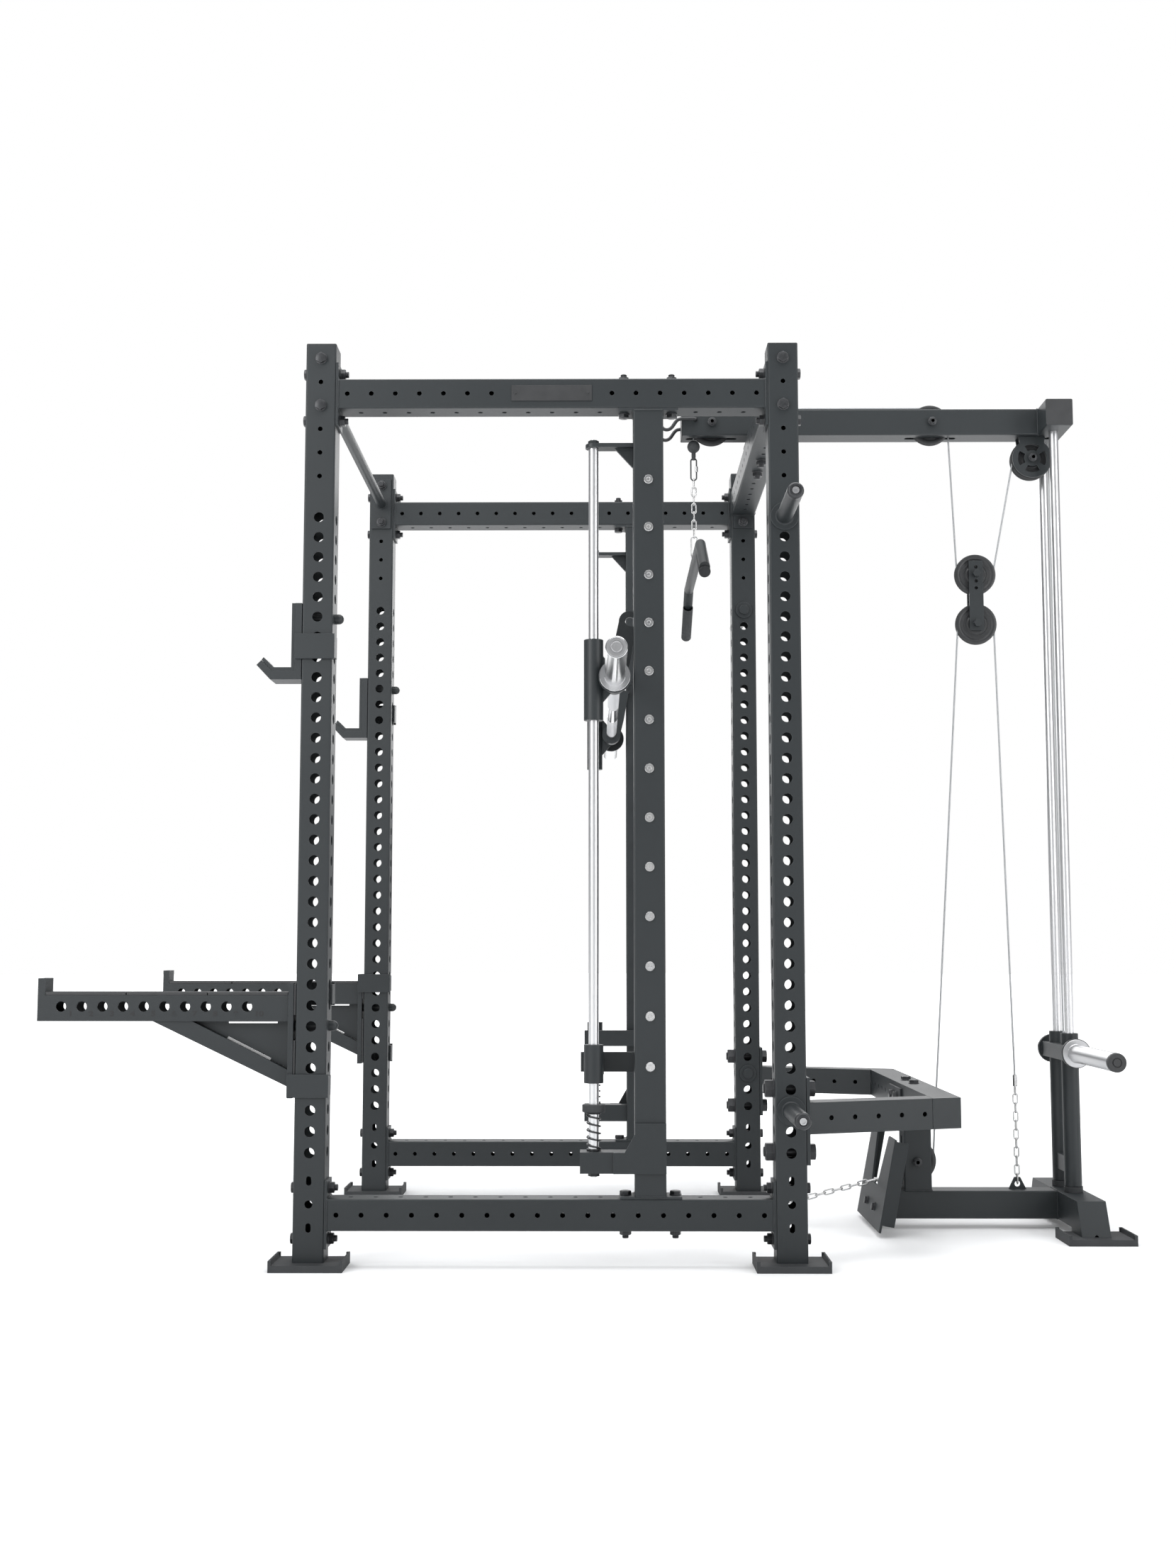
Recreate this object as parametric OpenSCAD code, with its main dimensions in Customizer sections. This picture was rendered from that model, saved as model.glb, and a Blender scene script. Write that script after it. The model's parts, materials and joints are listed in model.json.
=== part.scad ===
// Power cage with a guided barbell and a plate-loaded cable tower.
// X runs from the front of the cage to the tower, Y across the cage, Z up from the floor.
// Every module is drawn about the middle of the cage; placed() moves it so that the
// origin is at the middle of the whole machine, on the floor.

/* [Cage] */
// Length of the cage over its uprights
cage_length = 1227; // [1200:1:1260]
// Width of the cage over its uprights
cage_width = 1254; // [1240:1:1270]
// Height to the top of the uprights
cage_height = 2263; // [2255:1:2300]
// Side of the square tube
tube = 75; // [74:0.5:76]
// Wall of the square tube
wall = 3; // [2:0.5:4]
// Outer corner radius of the square tube
tube_corner = 4; // [3.5:0.5:6]

/* [Adjustment holes] */
// Diameter of the accessory holes in the uprights
hole_d = 25; // [24:0.5:26]
// Distance from one accessory hole to the next
hole_pitch = 50; // [50:1:51]
// Height of the lowest accessory hole
first_hole = 273; // [270:1:276]
// Number of accessory holes in each face of an upright
hole_count = 32; // [28:1:32]
// Diameter of the small holes in the beams
small_hole_d = 12; // [10:0.5:14]
// Distance from one small hole to the next
small_pitch = 60; // [58:1:61]

/* [Guided barbell] */
// Place of the guide rails along the cage
rail_x = 104; // [100:1:106]
// Diameter of a guide rail
rail_d = 25; // [24:0.5:26]
// Height of the barbell
bar_z = 1422; // [1420:1:1424]
// Diameter of the barbell shaft
bar_d = 30; // [28:0.5:31]
// Outer diameter of a loading sleeve
sleeve_d = 50; // [48:0.5:50]
// Distance between pegs on the posts
peg_pitch = 120; // [119:1:121]

/* [Cable tower] */
// Outer diameter of every cable pulley
pulley_d = 115; // [110:1:116]
// Diameter of the cable
cable_d = 5; // [4:0.5:6]
// Diameter of the two weight guide rods
rod_d = 25; // [24:0.5:26]
// Half the distance between the two guide rods
rod_y = 60; // [58:1:62]
// Outer diameter of the weight horns
horn_d = 48; // [46:0.5:50]
// Distance from one chain link to the next
chain_pitch = 24; // [24:0.5:26]

/* [Hidden] */

$fn = 48;
shift_x = 128;                         // from the middle of the cage to that of the machine
eps = 0.01;
run_gap = 0.05;                        // radial clearance of a running fit
side_gap = 0.5;                        // clearance beside a face that something moves along

// colours
powder = [0.26, 0.28, 0.29];
rubber = [0.10, 0.10, 0.11];
chrome = [0.82, 0.83, 0.85];
zinc = [0.70, 0.71, 0.73];
plastic = [0.13, 0.13, 0.14];

// cage
ux = (cage_length - tube) / 2;         // middle of an upright
uy = (cage_width - tube) / 2;
out_x = cage_length / 2;               // outer and inner faces
out_y = cage_width / 2;
in_x = out_x - tube;
in_y = out_y - tube;
foot_top = 16;                         // under an upright
bolt_d = 16;
bolt_hole = 17;
head_af = 24;
head_h = 10;
nut_h = 13;
thread_out = 8;                        // bolt end past its nut
plate_t = 6;                           // end plate of a beam
bolt_step = small_pitch;               // end plate bolts stand this far from its middle
top_beam_z = cage_height - 126;
bottom_beam_z = 127.5;
cross_z = top_beam_z + small_pitch / 2;

// guided barbell
post_x = 240;
post_foot = bottom_beam_z + tube / 2;
post_head = top_beam_z - tube / 2;
first_peg = 477;
peg_count = 13;
peg_d = 20;
peg_in = 25;                           // peg past the inner face of its post
rail_y = uy;
bar_x = 156;
hook_turn = 18;                        // the hooks rest this far from the pegs
hook_peg = [post_x - bar_x, first_peg + 9 * peg_pitch - bar_z];
base_z = 225;
spring_foot = 275;
spring_head = 367;
collar_h = 18;

// cable tower
tower_z = 2247.5;                      // middle of the top beam
tower_front = 355;
foot_x = 1401;                         // guide rods and rear foot
beam_back = foot_x - tube / 2;
groove_r = 47.5;
turn_r = groove_r + cable_d / 2 + 0.6; // radius at the middle of the cable
front_p = [439, tower_z];
mid_p = [1064, tower_z];
rear_p = [foot_x - turn_r, 2147];
low_p = [984, 179];
upper_p = [1184, 1813];
lower_p = [1184, 1671];
lat_x = front_p[0] - turn_r;
base_foot = 27;
base_head = 102;
post_mid = 986;
link_z = 355;
link_back = 1012;
link_mid = link_back - tube / 2;
link_half = 485;                       // half width at the back of the link frame
horn_z = 477;
ball_z = 2187;
lat_z = 1833;
anchor = [1264, 116];
chain_wire = 4;
hook_len = 60;                         // inside length of a snap hook
hook_reach = (hook_len + chain_wire) / 2;
ferrule = 26;                          // length of a crimped cable end
lat_links = 7;
anchor_foot = anchor[1] + 2;
anchor_head = anchor_foot + 11 * chain_pitch;
notch_p = [875, 127];                  // the row chain passes the foot plate here
row_fall = 14.6;                       // slope of the row chain down to the floor
row_links = 18;

// ---------------------------------------------------------------- helpers

module placed() translate([-shift_x, 0, 0]) children();

module both_sides() {
    children();
    mirror([0, 1, 0]) children();
}

module span(x, y, z) translate([x[0], y[0], z[0]]) cube([x[1] - x[0], y[1] - y[0], z[1] - z[0]]);

module along_x(d, x, y, z) translate([x[0], y, z]) rotate([0, 90, 0]) cylinder(d = d, h = x[1] - x[0]);

module along_y(d, x, y, z) translate([x, y[1], z]) rotate([90, 0, 0]) cylinder(d = d, h = y[1] - y[0]);

module along_z(d, x, y, z) translate([x, y, z[0]]) cylinder(d = d, h = z[1] - z[0]);

// a flat outline in X and Z, drawn out along Y
module plate_y(y) translate([0, y[1], 0]) rotate([90, 0, 0]) linear_extrude(y[1] - y[0]) children();

module rounded_square(side, r) {
    square([side - 2 * r, side], center = true);
    square([side, side - 2 * r], center = true);
    for (a = [-1, 1], b = [-1, 1])
        translate([a * (side / 2 - r), b * (side / 2 - r)]) circle(r);
}

// square tube along Z
module square_tube(length, side = tube) linear_extrude(length) difference() {
    rounded_square(side, tube_corner);
    rounded_square(side - 2 * wall, tube_corner - wall + 1);
}

module tube_x(x, y, z) translate([x[0], y, z]) rotate([0, 90, 0]) square_tube(x[1] - x[0]);

module tube_y(x, y, z) translate([x, y[1], z]) rotate([90, 0, 0]) square_tube(y[1] - y[0]);

// hexagon bolt along +Z with its head below z = 0
module bolt(length, d = bolt_d, af = head_af, h = head_h) {
    translate([0, 0, -h]) cylinder(d = af / cos(30), h = h, $fn = 6);
    translate([0, 0, -eps]) cylinder(d = d, h = length + eps);
}

module nut(d = bolt_d, af = head_af, h = nut_h) difference() {
    cylinder(d = af / cos(30), h = h, $fn = 6);
    translate([0, 0, -1]) cylinder(d = d + 0.2, h = h + 2);
}

// stands something drawn along +Z at a point, pointing along an axis
module point_x(p) translate(p) rotate([0, 90, 0]) children();
module point_back_x(p) translate(p) rotate([0, -90, 0]) children();
module point_y(p) translate(p) rotate([-90, 0, 0]) children();
module point_down(p) translate(p) rotate([180, 0, 0]) children();

// a tube swept through points, each ring square to the route
function unit(v) = v / norm(v);
function heading(p, i) = unit(p[min(i + 1, len(p) - 1)] - p[max(i - 1, 0)]);
function ring(p, i, r, up, sides) =
    let (t = heading(p, i), n = unit(cross(t, up)), b = cross(n, t))
    [for (k = [0 : sides - 1]) p[i] + r * (cos(360 * k / sides) * n + sin(360 * k / sides) * b)];
module sweep(p, d, up = [0, 1, 0], sides = 8) {
    n = len(p);
    rings = [for (i = [0 : n - 1]) each ring(p, i, d / 2, up, sides)];
    walls = [for (i = [0 : n - 2], k = [0 : sides - 1]) let (j = (k + 1) % sides)
        [i * sides + k, i * sides + j, (i + 1) * sides + j, (i + 1) * sides + k]];
    polyhedron(rings, concat(walls, [[for (k = [sides - 1 : -1 : 0]) k]],
        [[for (k = [0 : sides - 1]) (n - 1) * sides + k]]));
}

// points on an arc about a pulley, in X and Z, from one angle to another
function arc(c, r, from, to, steps = 8) =
    [for (i = [0 : steps]) let (a = from + (to - from) * i / steps)
        [c[0] + r * cos(a), 0, c[1] + r * sin(a)]];

// ---------------------------------------------------------------- cage

module slot_y(z) {
    w = 12.6;
    h = 22;
    for (s = [-1, 1]) along_y(w, 0, [-tube, tube], z + s * (h - w) / 2);
    span([-w / 2, w / 2], [-tube, tube], [z - (h - w) / 2, z + (h - w) / 2]);
}

module upright(side_x, side_y) color(powder) placed() translate([side_x * ux, side_y * uy, 0]) difference() {
    translate([0, 0, foot_top]) square_tube(cage_height - foot_top);
    for (k = [0 : hole_count - 1]) {
        along_y(hole_d, 0, [-tube, tube], first_hole + k * hole_pitch);
        along_x(hole_d, [-tube, tube], 0, first_hole + k * hole_pitch);
    }
    for (k = [0 : 5])
        along_y(k == 0 || k == 2 ? bolt_hole : small_hole_d, 0, [-tube, tube],
            cross_z + bolt_step - k * small_pitch);
    along_x(small_hole_d, [-tube, tube], 0, top_beam_z);
    for (z = [top_beam_z, bottom_beam_z], s = [-1, 1])
        along_x(bolt_hole, [-tube, tube], 0, z + s * bolt_step);
    for (z = [97.5, 207.5]) slot_y(z);
    along_y(19, 0, [-tube, tube], 152.5);
}

module upright_front_right() upright(-1, -1);
module upright_front_left() upright(-1, 1);
module upright_rear_right() upright(1, -1);
module upright_rear_left() upright(1, 1);

// plastic plugs in the open tube ends
module cap(p) translate(p) {
    translate([0, 0, -12]) linear_extrude(12) rounded_square(tube - 2 * wall - 0.6, 2);
    linear_extrude(2.5) rounded_square(tube - 0.6, tube_corner);
}

module tube_caps() color(plastic) placed() {
    for (x = [-ux, ux], y = [-uy, uy]) cap([x, y, cage_height]);
    translate([tower_front, 0, tower_z]) rotate([0, -90, 0]) cap([0, 0, 0]);
    for (s = [-1, 1]) translate([foot_x, s * 125, tower_z]) rotate([s * -90, 0, 0]) cap([0, 0, 0]);
}

// moulded shoe under a tube; its lips rise at both ends
module shoe(p, y) translate(p) {
    span([-88, 88], y, [0, foot_top]);
    for (s = [-1, 1]) mirror([s < 0 ? 1 : 0, 0, 0]) {
        plate_y(y) polygon([[80, foot_top - 1], [88, foot_top - 1], [88, 27], [84, 27]]);
        span([80, 88], [y[0], y[0] + 10], [foot_top - 1, 27]);
        span([80, 88], [y[1] - 10, y[1]], [foot_top - 1, 27]);
    }
}

module rubber_feet() color(rubber) placed() {
    for (x = [-ux, ux]) both_sides() shoe([x, -uy, 0], [-76, 54]);
    both_sides() shoe([foot_x + 7, -236, 0], [-67, 67]);
    for (s = [-1, 1]) translate([foot_x, s * rod_y, base_head]) difference() {
        cylinder(d = 50, h = 16);
        translate([0, 0, -1]) cylinder(d = rod_d + 0.6, h = 18);
    }
}

end_half = 80;                         // half height of an end plate
// side beam with its two end plates
module side_beam(z) difference() {
    union() {
        tube_x([-in_x + plate_t, in_x - plate_t], -uy, z);
        for (s = [-1, 1]) mirror([s < 0 ? 1 : 0, 0, 0])
            span([in_x - plate_t, in_x], [-uy - tube / 2, -uy + tube / 2], [z - end_half, z + end_half]);
    }
    for (k = [0 : 17]) along_y(small_hole_d, -510 + k * small_pitch, [-out_y - 1, -in_y + 1], z);
    for (k = [0 : 16]) if (k != 11 && k != 13)
        along_z(small_hole_d, -480 + k * small_pitch, -uy, [z - tube, z + tube]);
    for (k = [11, 13]) along_z(bolt_hole, -480 + k * small_pitch, -uy, [z - tube, z + tube]);
    for (s = [-1, 1], t = [-1, 1])
        along_x(bolt_hole, [s * in_x - 10, s * in_x + 10], -uy, z + t * bolt_step);
}

module top_beams() color(powder) placed() both_sides() side_beam(top_beam_z);
module bottom_beams() color(powder) placed() both_sides() side_beam(bottom_beam_z);

module end_plates(x) both_sides() difference() {
    span([x - 30, x + 30], [-in_y, -in_y + plate_t], [cross_z - end_half, cross_z + end_half]);
    for (t = [-1, 1])
        along_y(bolt_hole, x, [-in_y - 1, -in_y + plate_t + 1], cross_z + t * bolt_step);
}

module pull_up_bar() color(powder) placed() {
    along_y(30, -ux, [-in_y + plate_t - 1, in_y - plate_t + 1], cross_z);
    end_plates(-ux);
}

module rear_cross_beam() color(powder) placed() {
    end_plates(ux);
    difference() {
        tube_y(ux, [-in_y + plate_t - 1, in_y - plate_t + 1], cross_z);
        for (k = [-8 : 8]) {
            along_x(small_hole_d, [ux - tube, ux + tube], k * small_pitch, cross_z);
            along_z(abs(k) == 1 ? bolt_hole : small_hole_d, ux, k * small_pitch,
                [cross_z - tube, cross_z + tube]);
        }
    }
}

// where the bolts of one side are: a point on the head's seat, and the grip under the nut
grip = tube + plate_t;
foot_grip = 2 * plate_t + 0.2;
module side_bolts() {
    for (z = [top_beam_z, bottom_beam_z], t = [-1, 1]) {
        point_x([-out_x, -uy, z + t * bolt_step]) children();
        point_back_x([out_x, -uy, z + t * bolt_step]) children();
    }
    for (x = [-ux, ux], t = [-1, 1]) point_y([x, -out_y, cross_z + t * bolt_step]) children();
}

module post_bolts() for (k = [11, 13]) {
    point_down([-480 + k * small_pitch, -uy, post_foot + plate_t]) children();
    translate([-480 + k * small_pitch, -uy, post_head - plate_t]) children();
}

link_plate_t = 8;
module link_bolts() for (k = [0, 3])
    point_back_x([out_x + link_plate_t, -uy, first_hole + k * hole_pitch]) children();

// the tower's own bolts: saddle, link frame from above and from inside, and foot plate
saddle_t = 6;
module saddle_bolt() point_down([ux, -small_pitch, cross_z + tube / 2 + saddle_t]) children();
module link_top_bolt() point_down([link_mid, -small_pitch, link_z + tube / 2]) children();
module link_face_bolt() point_x([link_back - tube - plate_t, -small_pitch / 2, link_z]) children();
module foot_plate_bolt() on_foot_plate() point_x([0, -small_pitch, 50]) children();

module frame_bolts() color(plastic) placed() both_sides() {
    side_bolts() bolt(grip + nut_h + thread_out);
    post_bolts() bolt(tube + plate_t + nut_h + thread_out);
    link_bolts() bolt(tube + link_plate_t + 26, 24.6, 36, 16);
    saddle_bolt() bolt(grip + nut_h + thread_out);
    link_top_bolt() bolt(grip + nut_h + thread_out);
    link_face_bolt() bolt(grip + nut_h + thread_out);
    foot_plate_bolt() bolt(foot_grip + 16, 12, 19, 8);
}

module frame_nuts() color(plastic) placed() both_sides() {
    side_bolts() translate([0, 0, grip]) nut();
    post_bolts() translate([0, 0, tube + plate_t]) nut();
    link_bolts() translate([0, 0, tube + link_plate_t]) nut(24.6, 40, 22);
    saddle_bolt() translate([0, 0, grip]) nut();
    link_top_bolt() translate([0, 0, grip]) nut();
    link_face_bolt() translate([0, 0, grip]) nut();
    foot_plate_bolt() translate([0, 0, foot_grip]) nut(12, 19, 10);
}

module name_plate() color(plastic) placed() {
    span([-100, 100], [-out_y - 2, -out_y], [top_beam_z - 20, top_beam_z + 20]);
    for (x = [-90, 90]) translate([x, -out_y - 2, top_beam_z]) rotate([90, 0, 0]) cylinder(d = 6, h = 1.5);
}

// ---------------------------------------------------------------- guided barbell

module smith_posts() color(powder) placed() both_sides() difference() {
    union() {
        translate([post_x, -uy, post_foot + plate_t - 1])
            square_tube(post_head - post_foot - 2 * plate_t + 2);
        for (z = [post_foot, post_head - plate_t])
            span([168, 315], [-uy - tube / 2, -uy + tube / 2], [z, z + plate_t]);
    }
    for (k = [0 : peg_count - 1])
        along_y(peg_d + 0.4, post_x, [-out_y - 1, -in_y + 1], first_peg + k * peg_pitch);
    for (k = [11, 13])
        along_z(bolt_hole, -480 + k * small_pitch, -uy, [post_foot - 5, post_head + 5]);
}

module smith_pegs() color(zinc) placed() both_sides() for (k = [0 : peg_count - 1]) {
    along_y(peg_d, post_x, [-out_y - eps, -in_y + peg_in], first_peg + k * peg_pitch);
    along_y(23, post_x, [-out_y - 4, -out_y], first_peg + k * peg_pitch);
}

module smith_rails() color(chrome) placed() both_sides() {
    along_z(rail_d, rail_x, -rail_y, [base_z + 8, 2015]);
    along_z(14, rail_x, -rail_y, [base_z - 12, base_z + 9]);
    along_z(14, rail_x, -rail_y, [2014, 2027]);
}

module rail_brackets() color(powder) placed() both_sides() {
    difference() {
        union() {
            span([rail_x, post_x - tube / 2], [-rail_y - 20, -rail_y + 20], [2005, 2015]);
            along_z(40, rail_x, -rail_y, [2005, 2015]);
        }
        along_z(rail_d + 0.2, rail_x, -rail_y, [2000, 2020]);
    }
    plate_y([-rail_y - 4, -rail_y + 4])
        polygon([[157, 2005], [post_x - tube / 2, 2005], [post_x - tube / 2, 1955]]);
    translate([rail_x, -rail_y, 2015]) nut(14, 24, 10);
}

module rail_bases() color(powder) placed() both_sides() {
    difference() {
        span([71, post_x - tube / 2], [-out_y, -out_y + 60], [base_z, spring_foot]);
        along_z(rail_d + 0.2, rail_x, -rail_y, [base_z + 8, spring_foot + 1]);
        along_z(15, rail_x, -rail_y, [base_z - 1, base_z + 10]);
    }
    plate_y([-out_y - 6, -out_y]) polygon([[151, base_z], [post_x + tube / 2, base_z],
        [post_x + tube / 2, 344], [post_x - tube / 2, 344], [post_x - tube / 2, 318],
        [178, spring_foot], [151, spring_foot]]);
    point_down([rail_x, -rail_y, base_z]) nut(14, 24, 10);
}

spring_d = 36;
spring_wire = 4;
spring_turns = 5;
module bumper_springs() color(plastic) placed() both_sides() translate([rail_x, -rail_y, 0]) {
    steps = spring_turns * 16;
    rise = spring_head - spring_foot - spring_wire - 1;
    sweep([for (i = [0 : steps]) let (a = 360 * spring_turns * i / steps)
        [(spring_d - spring_wire) / 2 * cos(a), (spring_d - spring_wire) / 2 * sin(a),
            spring_foot + spring_wire / 2 + 0.5 + rise * i / steps]], spring_wire, [0, 0, 1], 6);
}

module bumper_collars() color(rubber) placed() both_sides() difference() {
    along_z(56, rail_x, -rail_y, [spring_head, spring_head + collar_h]);
    along_z(rail_d + 2 * run_gap, rail_x, -rail_y, [spring_head - 1, spring_head + collar_h + 1]);
}

slide_z = [1319, 1520];
module smith_slides() color(powder) placed() both_sides() difference() {
    union() {
        along_z(48, rail_x, -rail_y, slide_z);
        plate_y([-rail_y - 6, -rail_y + 6]) polygon([[rail_x + 16, bar_z + 66], [bar_x, bar_z + 24],
            [bar_x, bar_z - 24], [rail_x + 16, bar_z - 66]]);
        along_y(48, bar_x, [-rail_y - 14, -rail_y + 14], bar_z);
    }
    along_z(rail_d + 2 * run_gap, rail_x, -rail_y, [slide_z[0] - 1, slide_z[1] + 1]);
    along_y(bar_d + 2 * run_gap, bar_x, [-rail_y - 20, -rail_y + 20], bar_z);
}

sleeve_in = rail_y + 46;               // inner face of a sleeve's collar
sleeve_out = 1046;
module smith_bar() color(chrome) placed() {
    along_y(bar_d, bar_x, [-sleeve_out - 1, sleeve_out + 1], bar_z);
    both_sides() {
        along_y(44, bar_x, [-sleeve_out - 2, -sleeve_out - side_gap], bar_z);
        translate([bar_x, -sleeve_out - 2, bar_z]) rotate([90, 0, 0]) cylinder(d = 24, h = 4, $fn = 6);
    }
}

// one hook, with its clamp round the bar; drawn engaged on a peg, then turned to rest
module hook() translate([bar_x, 0, bar_z]) rotate([0, -hook_turn, 0]) {
    head = hook_peg;
    difference() {
        union() {
            plate_y([-542, -532]) {
                circle(28);
                polygon([[-10, 20], [38, 108], [64, 153], [head[0] + 12, head[1] + 24],
                    [head[0] + 10, head[1] - 22], [52, 34], [26, -8]]);
                translate(head) circle(27);
            }
            along_y(56, 0, [-556, -518], 0);
        }
        along_y(peg_d + 2, head[0], [-545, -530], head[1]);
        translate([head[0], -545, head[1]]) rotate([0, 32, 0])
            span([0, 60], [0, 15], [-(peg_d + 2) / 2, (peg_d + 2) / 2]);
        along_y(bar_d, 0, [-560, -510], 0);
    }
    along_y(14, 28, [-532, -526], 48);
}

module smith_hooks() color(powder) placed() both_sides() {
    hook();
    difference() {
        along_y(80, bar_x, [-sleeve_in + side_gap, -sleeve_in + 12], bar_z);
        along_y(bar_d, bar_x, [-sleeve_in - 1, -sleeve_in + 15], bar_z);
    }
}

module bar_sleeve() color(chrome) placed() difference() {
    union() {
        along_y(sleeve_d, bar_x, [-sleeve_out, -sleeve_in], bar_z);
        along_y(76, bar_x, [-sleeve_in - 14, -sleeve_in], bar_z);
    }
    along_y(bar_d + 2 * run_gap, bar_x, [-sleeve_out - 1, -sleeve_in + 1], bar_z);
}
module bar_sleeve_right() bar_sleeve();
module bar_sleeve_left() mirror([0, 1, 0]) bar_sleeve();

// collar on the rail with an arm that passes behind the post, inboard of the pegs
module safety_stop() color(powder) placed() {
    arm_y = -in_y + peg_in + side_gap;
    difference() {
        union() {
            along_z(47.5, rail_x, -rail_y, [436, 528]);
            span([rail_x - 12, rail_x + 12], [-rail_y, arm_y + 5], [462, 502]);
        }
        along_z(rail_d + 2 * run_gap, rail_x, -rail_y, [430, 535]);
    }
    span([72, post_x + 36], [arm_y, arm_y + 10], [458, 506]);
}
module safety_stop_right() safety_stop();
module safety_stop_left() mirror([0, 1, 0]) safety_stop();

// ---------------------------------------------------------------- hooks, arms and pegs on the uprights

cup_z = first_hole + 26 * hole_pitch;
arm_z = first_hole + 6 * hole_pitch;
pin_d = hole_d - 0.16;

// pin through both walls of a front upright, with a domed end past the far face
module hanging_pin(z, x) {
    along_x(pin_d, [x, -in_x + 10], -uy, z);
    translate([-in_x + 10, -uy, z]) difference() {
        sphere(d = pin_d);
        span([-pin_d, 0], [-pin_d, pin_d], [-pin_d, pin_d]);
    }
}

// strap round one side of an upright; side is -1 for its outer and 1 for its inner face
module strap(z, x, side) {
    face = -uy + side * (tube / 2 + side_gap);
    span([x, -in_x + side_gap + 6], side < 0 ? [face - 6, face] : [face, face + 6], z);
    span([-in_x + side_gap, -in_x + side_gap + 6], side < 0 ? [face - 6, face + 36] : [face - 36, face + 6],
        [z[0] + 4, z[1] - 4]);
}

module j_cup() color(powder) placed() {
    face = -out_x - side_gap;
    back = face - 16;
    span([back, face], [-uy - 38, -uy + 38], [cup_z - 156, cup_z + 34]);
    hanging_pin(cup_z, face - 5);
    strap([cup_z - 105, cup_z - 43], back, -1);
    // seat, drawn as a side outline
    plate_y([-uy - 38, -uy + 38]) polygon([[back, 1417], [back, 1439], [-686, 1439],
        [-712, 1465], [-724, 1453], [-690, 1417]]);
    // plastic liner on the seat and up the back
    plate_y([-uy - 36, -uy + 36]) polygon([[back - 0.2, 1439.2], [back - 0.2, cup_z + 34],
        [back - 9, cup_z + 34], [back - 9, 1447.5], [-682, 1447.5], [-707, 1472.5], [-712, 1466],
        [-686, 1439.2]]);
}
module j_cup_right() j_cup();
module j_cup_left() mirror([0, 1, 0]) j_cup();

arm_y = 30;                            // half width of a spotter arm
arm_back = -632;
module spotter_arm() color(powder) placed() {
    back = -out_x - 6;
    difference() {
        span([-1240, arm_back + 1], [-uy - arm_y, -uy + arm_y], [585, 647]);
        span([-1234, arm_back + 2], [-uy - arm_y + wall, -uy + arm_y - wall], [585 + wall, 647 - wall]);
        for (k = [0 : 9]) along_y(hole_d, -1183 + k * hole_pitch, [-uy - tube, -uy + tube], 620);
    }
    span([-1240, -1222], [-uy - arm_y, -uy + arm_y], [647, 688]);
    // brace under the arm, and its web
    plate_y([-uy - 25, -uy + 25]) polygon([[-962, 585], [-867, 585], [arm_back, 468], [arm_back, 428]]);
    difference() {
        plate_y([-uy - 4, -uy + 4]) polygon([[-866, 585], [arm_back, 585], [arm_back, 469]]);
        span([-783, -663], [-uy - 5, -uy + 5], [579, 583]);
        translate([-731, -uy, 520]) rotate([0, 26.5, 0]) span([-59, 59], [-5, 5], [-2, 2]);
    }
    span([arm_back, back], [-uy - 38, -uy + 38], [402, 677]);
    hanging_pin(arm_z, back - 5);
    strap([621, 677], arm_back, 1);
    strap([404, 459], arm_back, -1);
}
module spotter_arm_right() spotter_arm();
module spotter_arm_left() mirror([0, 1, 0]) spotter_arm();

module arm_pad() color(plastic) placed() {
    for (k = [0 : 2]) translate([-1221.5 + k * 196.5, -uy, 0])
        span([0, 194.5], [-arm_y, arm_y], [647.2, 655]);
    span([-out_x - 5.8, -out_x - side_gap], [-uy - 36, -uy + 36], [600, 675]);
    span([-out_x - 5.8, -out_x - side_gap], [-uy - 36, -uy + 36], [404, 540]);
}
module arm_pad_right() arm_pad();
module arm_pad_left() mirror([0, 1, 0]) arm_pad();

peg_len = 245;
module plate_pegs() color(powder) placed() both_sides() for (k = [2, 31]) {
    z = first_hole + k * hole_pitch;
    along_y(70, ux, [-out_y - 5, -out_y], z);
    along_y(40, ux, [-out_y - peg_len + 8, -out_y - 4], z);
    translate([ux, -out_y - peg_len + 8, z]) rotate([90, 0, 0]) cylinder(d1 = 40, d2 = 26, h = 8);
    along_y(pin_d, ux, [-out_y - 5, -in_y + 1], z);
    along_y(52, ux, [-in_y, -in_y + 6], z);
    along_y(30, ux, [-in_y + 5, -in_y + 14], z);
}

// ---------------------------------------------------------------- link frame and tower

link_z0 = link_z - tube / 2;
link_z1 = link_z + tube / 2;
link_slope = (out_y - link_half) / (link_back - out_x - link_plate_t);
link_end = link_back - tube - 1;        // the side beams stop short of the cross beam
end_y = link_half + link_slope * (tube + 1);
module link_side() difference() {
    translate([0, 0, link_z0]) linear_extrude(tube) polygon([[out_x + 7, -out_y + 2],
        [link_end, -end_y], [link_end, -end_y + tube], [out_x + 7, -out_y + tube]]);
    translate([0, 0, link_z0 + wall]) linear_extrude(tube - 2 * wall) polygon([[out_x + 20, -out_y + 8],
        [link_end + eps, -end_y + wall], [link_end + eps, -end_y + tube - wall], [out_x + 20, -out_y + tube - wall]]);
    for (x = [675 : small_pitch : 915]) translate([x, -out_y + link_slope * (x - out_x), link_z])
        rotate([0, 0, atan(link_slope)]) along_y(small_hole_d, 0, [-120, 120], 0);
}

module link_beams() color(powder) placed() both_sides() {
    link_side();
    difference() {
        span([out_x, out_x + link_plate_t], [-out_y, -in_y], [first_hole - 28, first_hole + 3 * hole_pitch + 28]);
        for (k = [0, 3]) along_x(hole_d, [out_x - 1, out_x + 9], -uy, first_hole + k * hole_pitch);
    }
}

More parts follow.
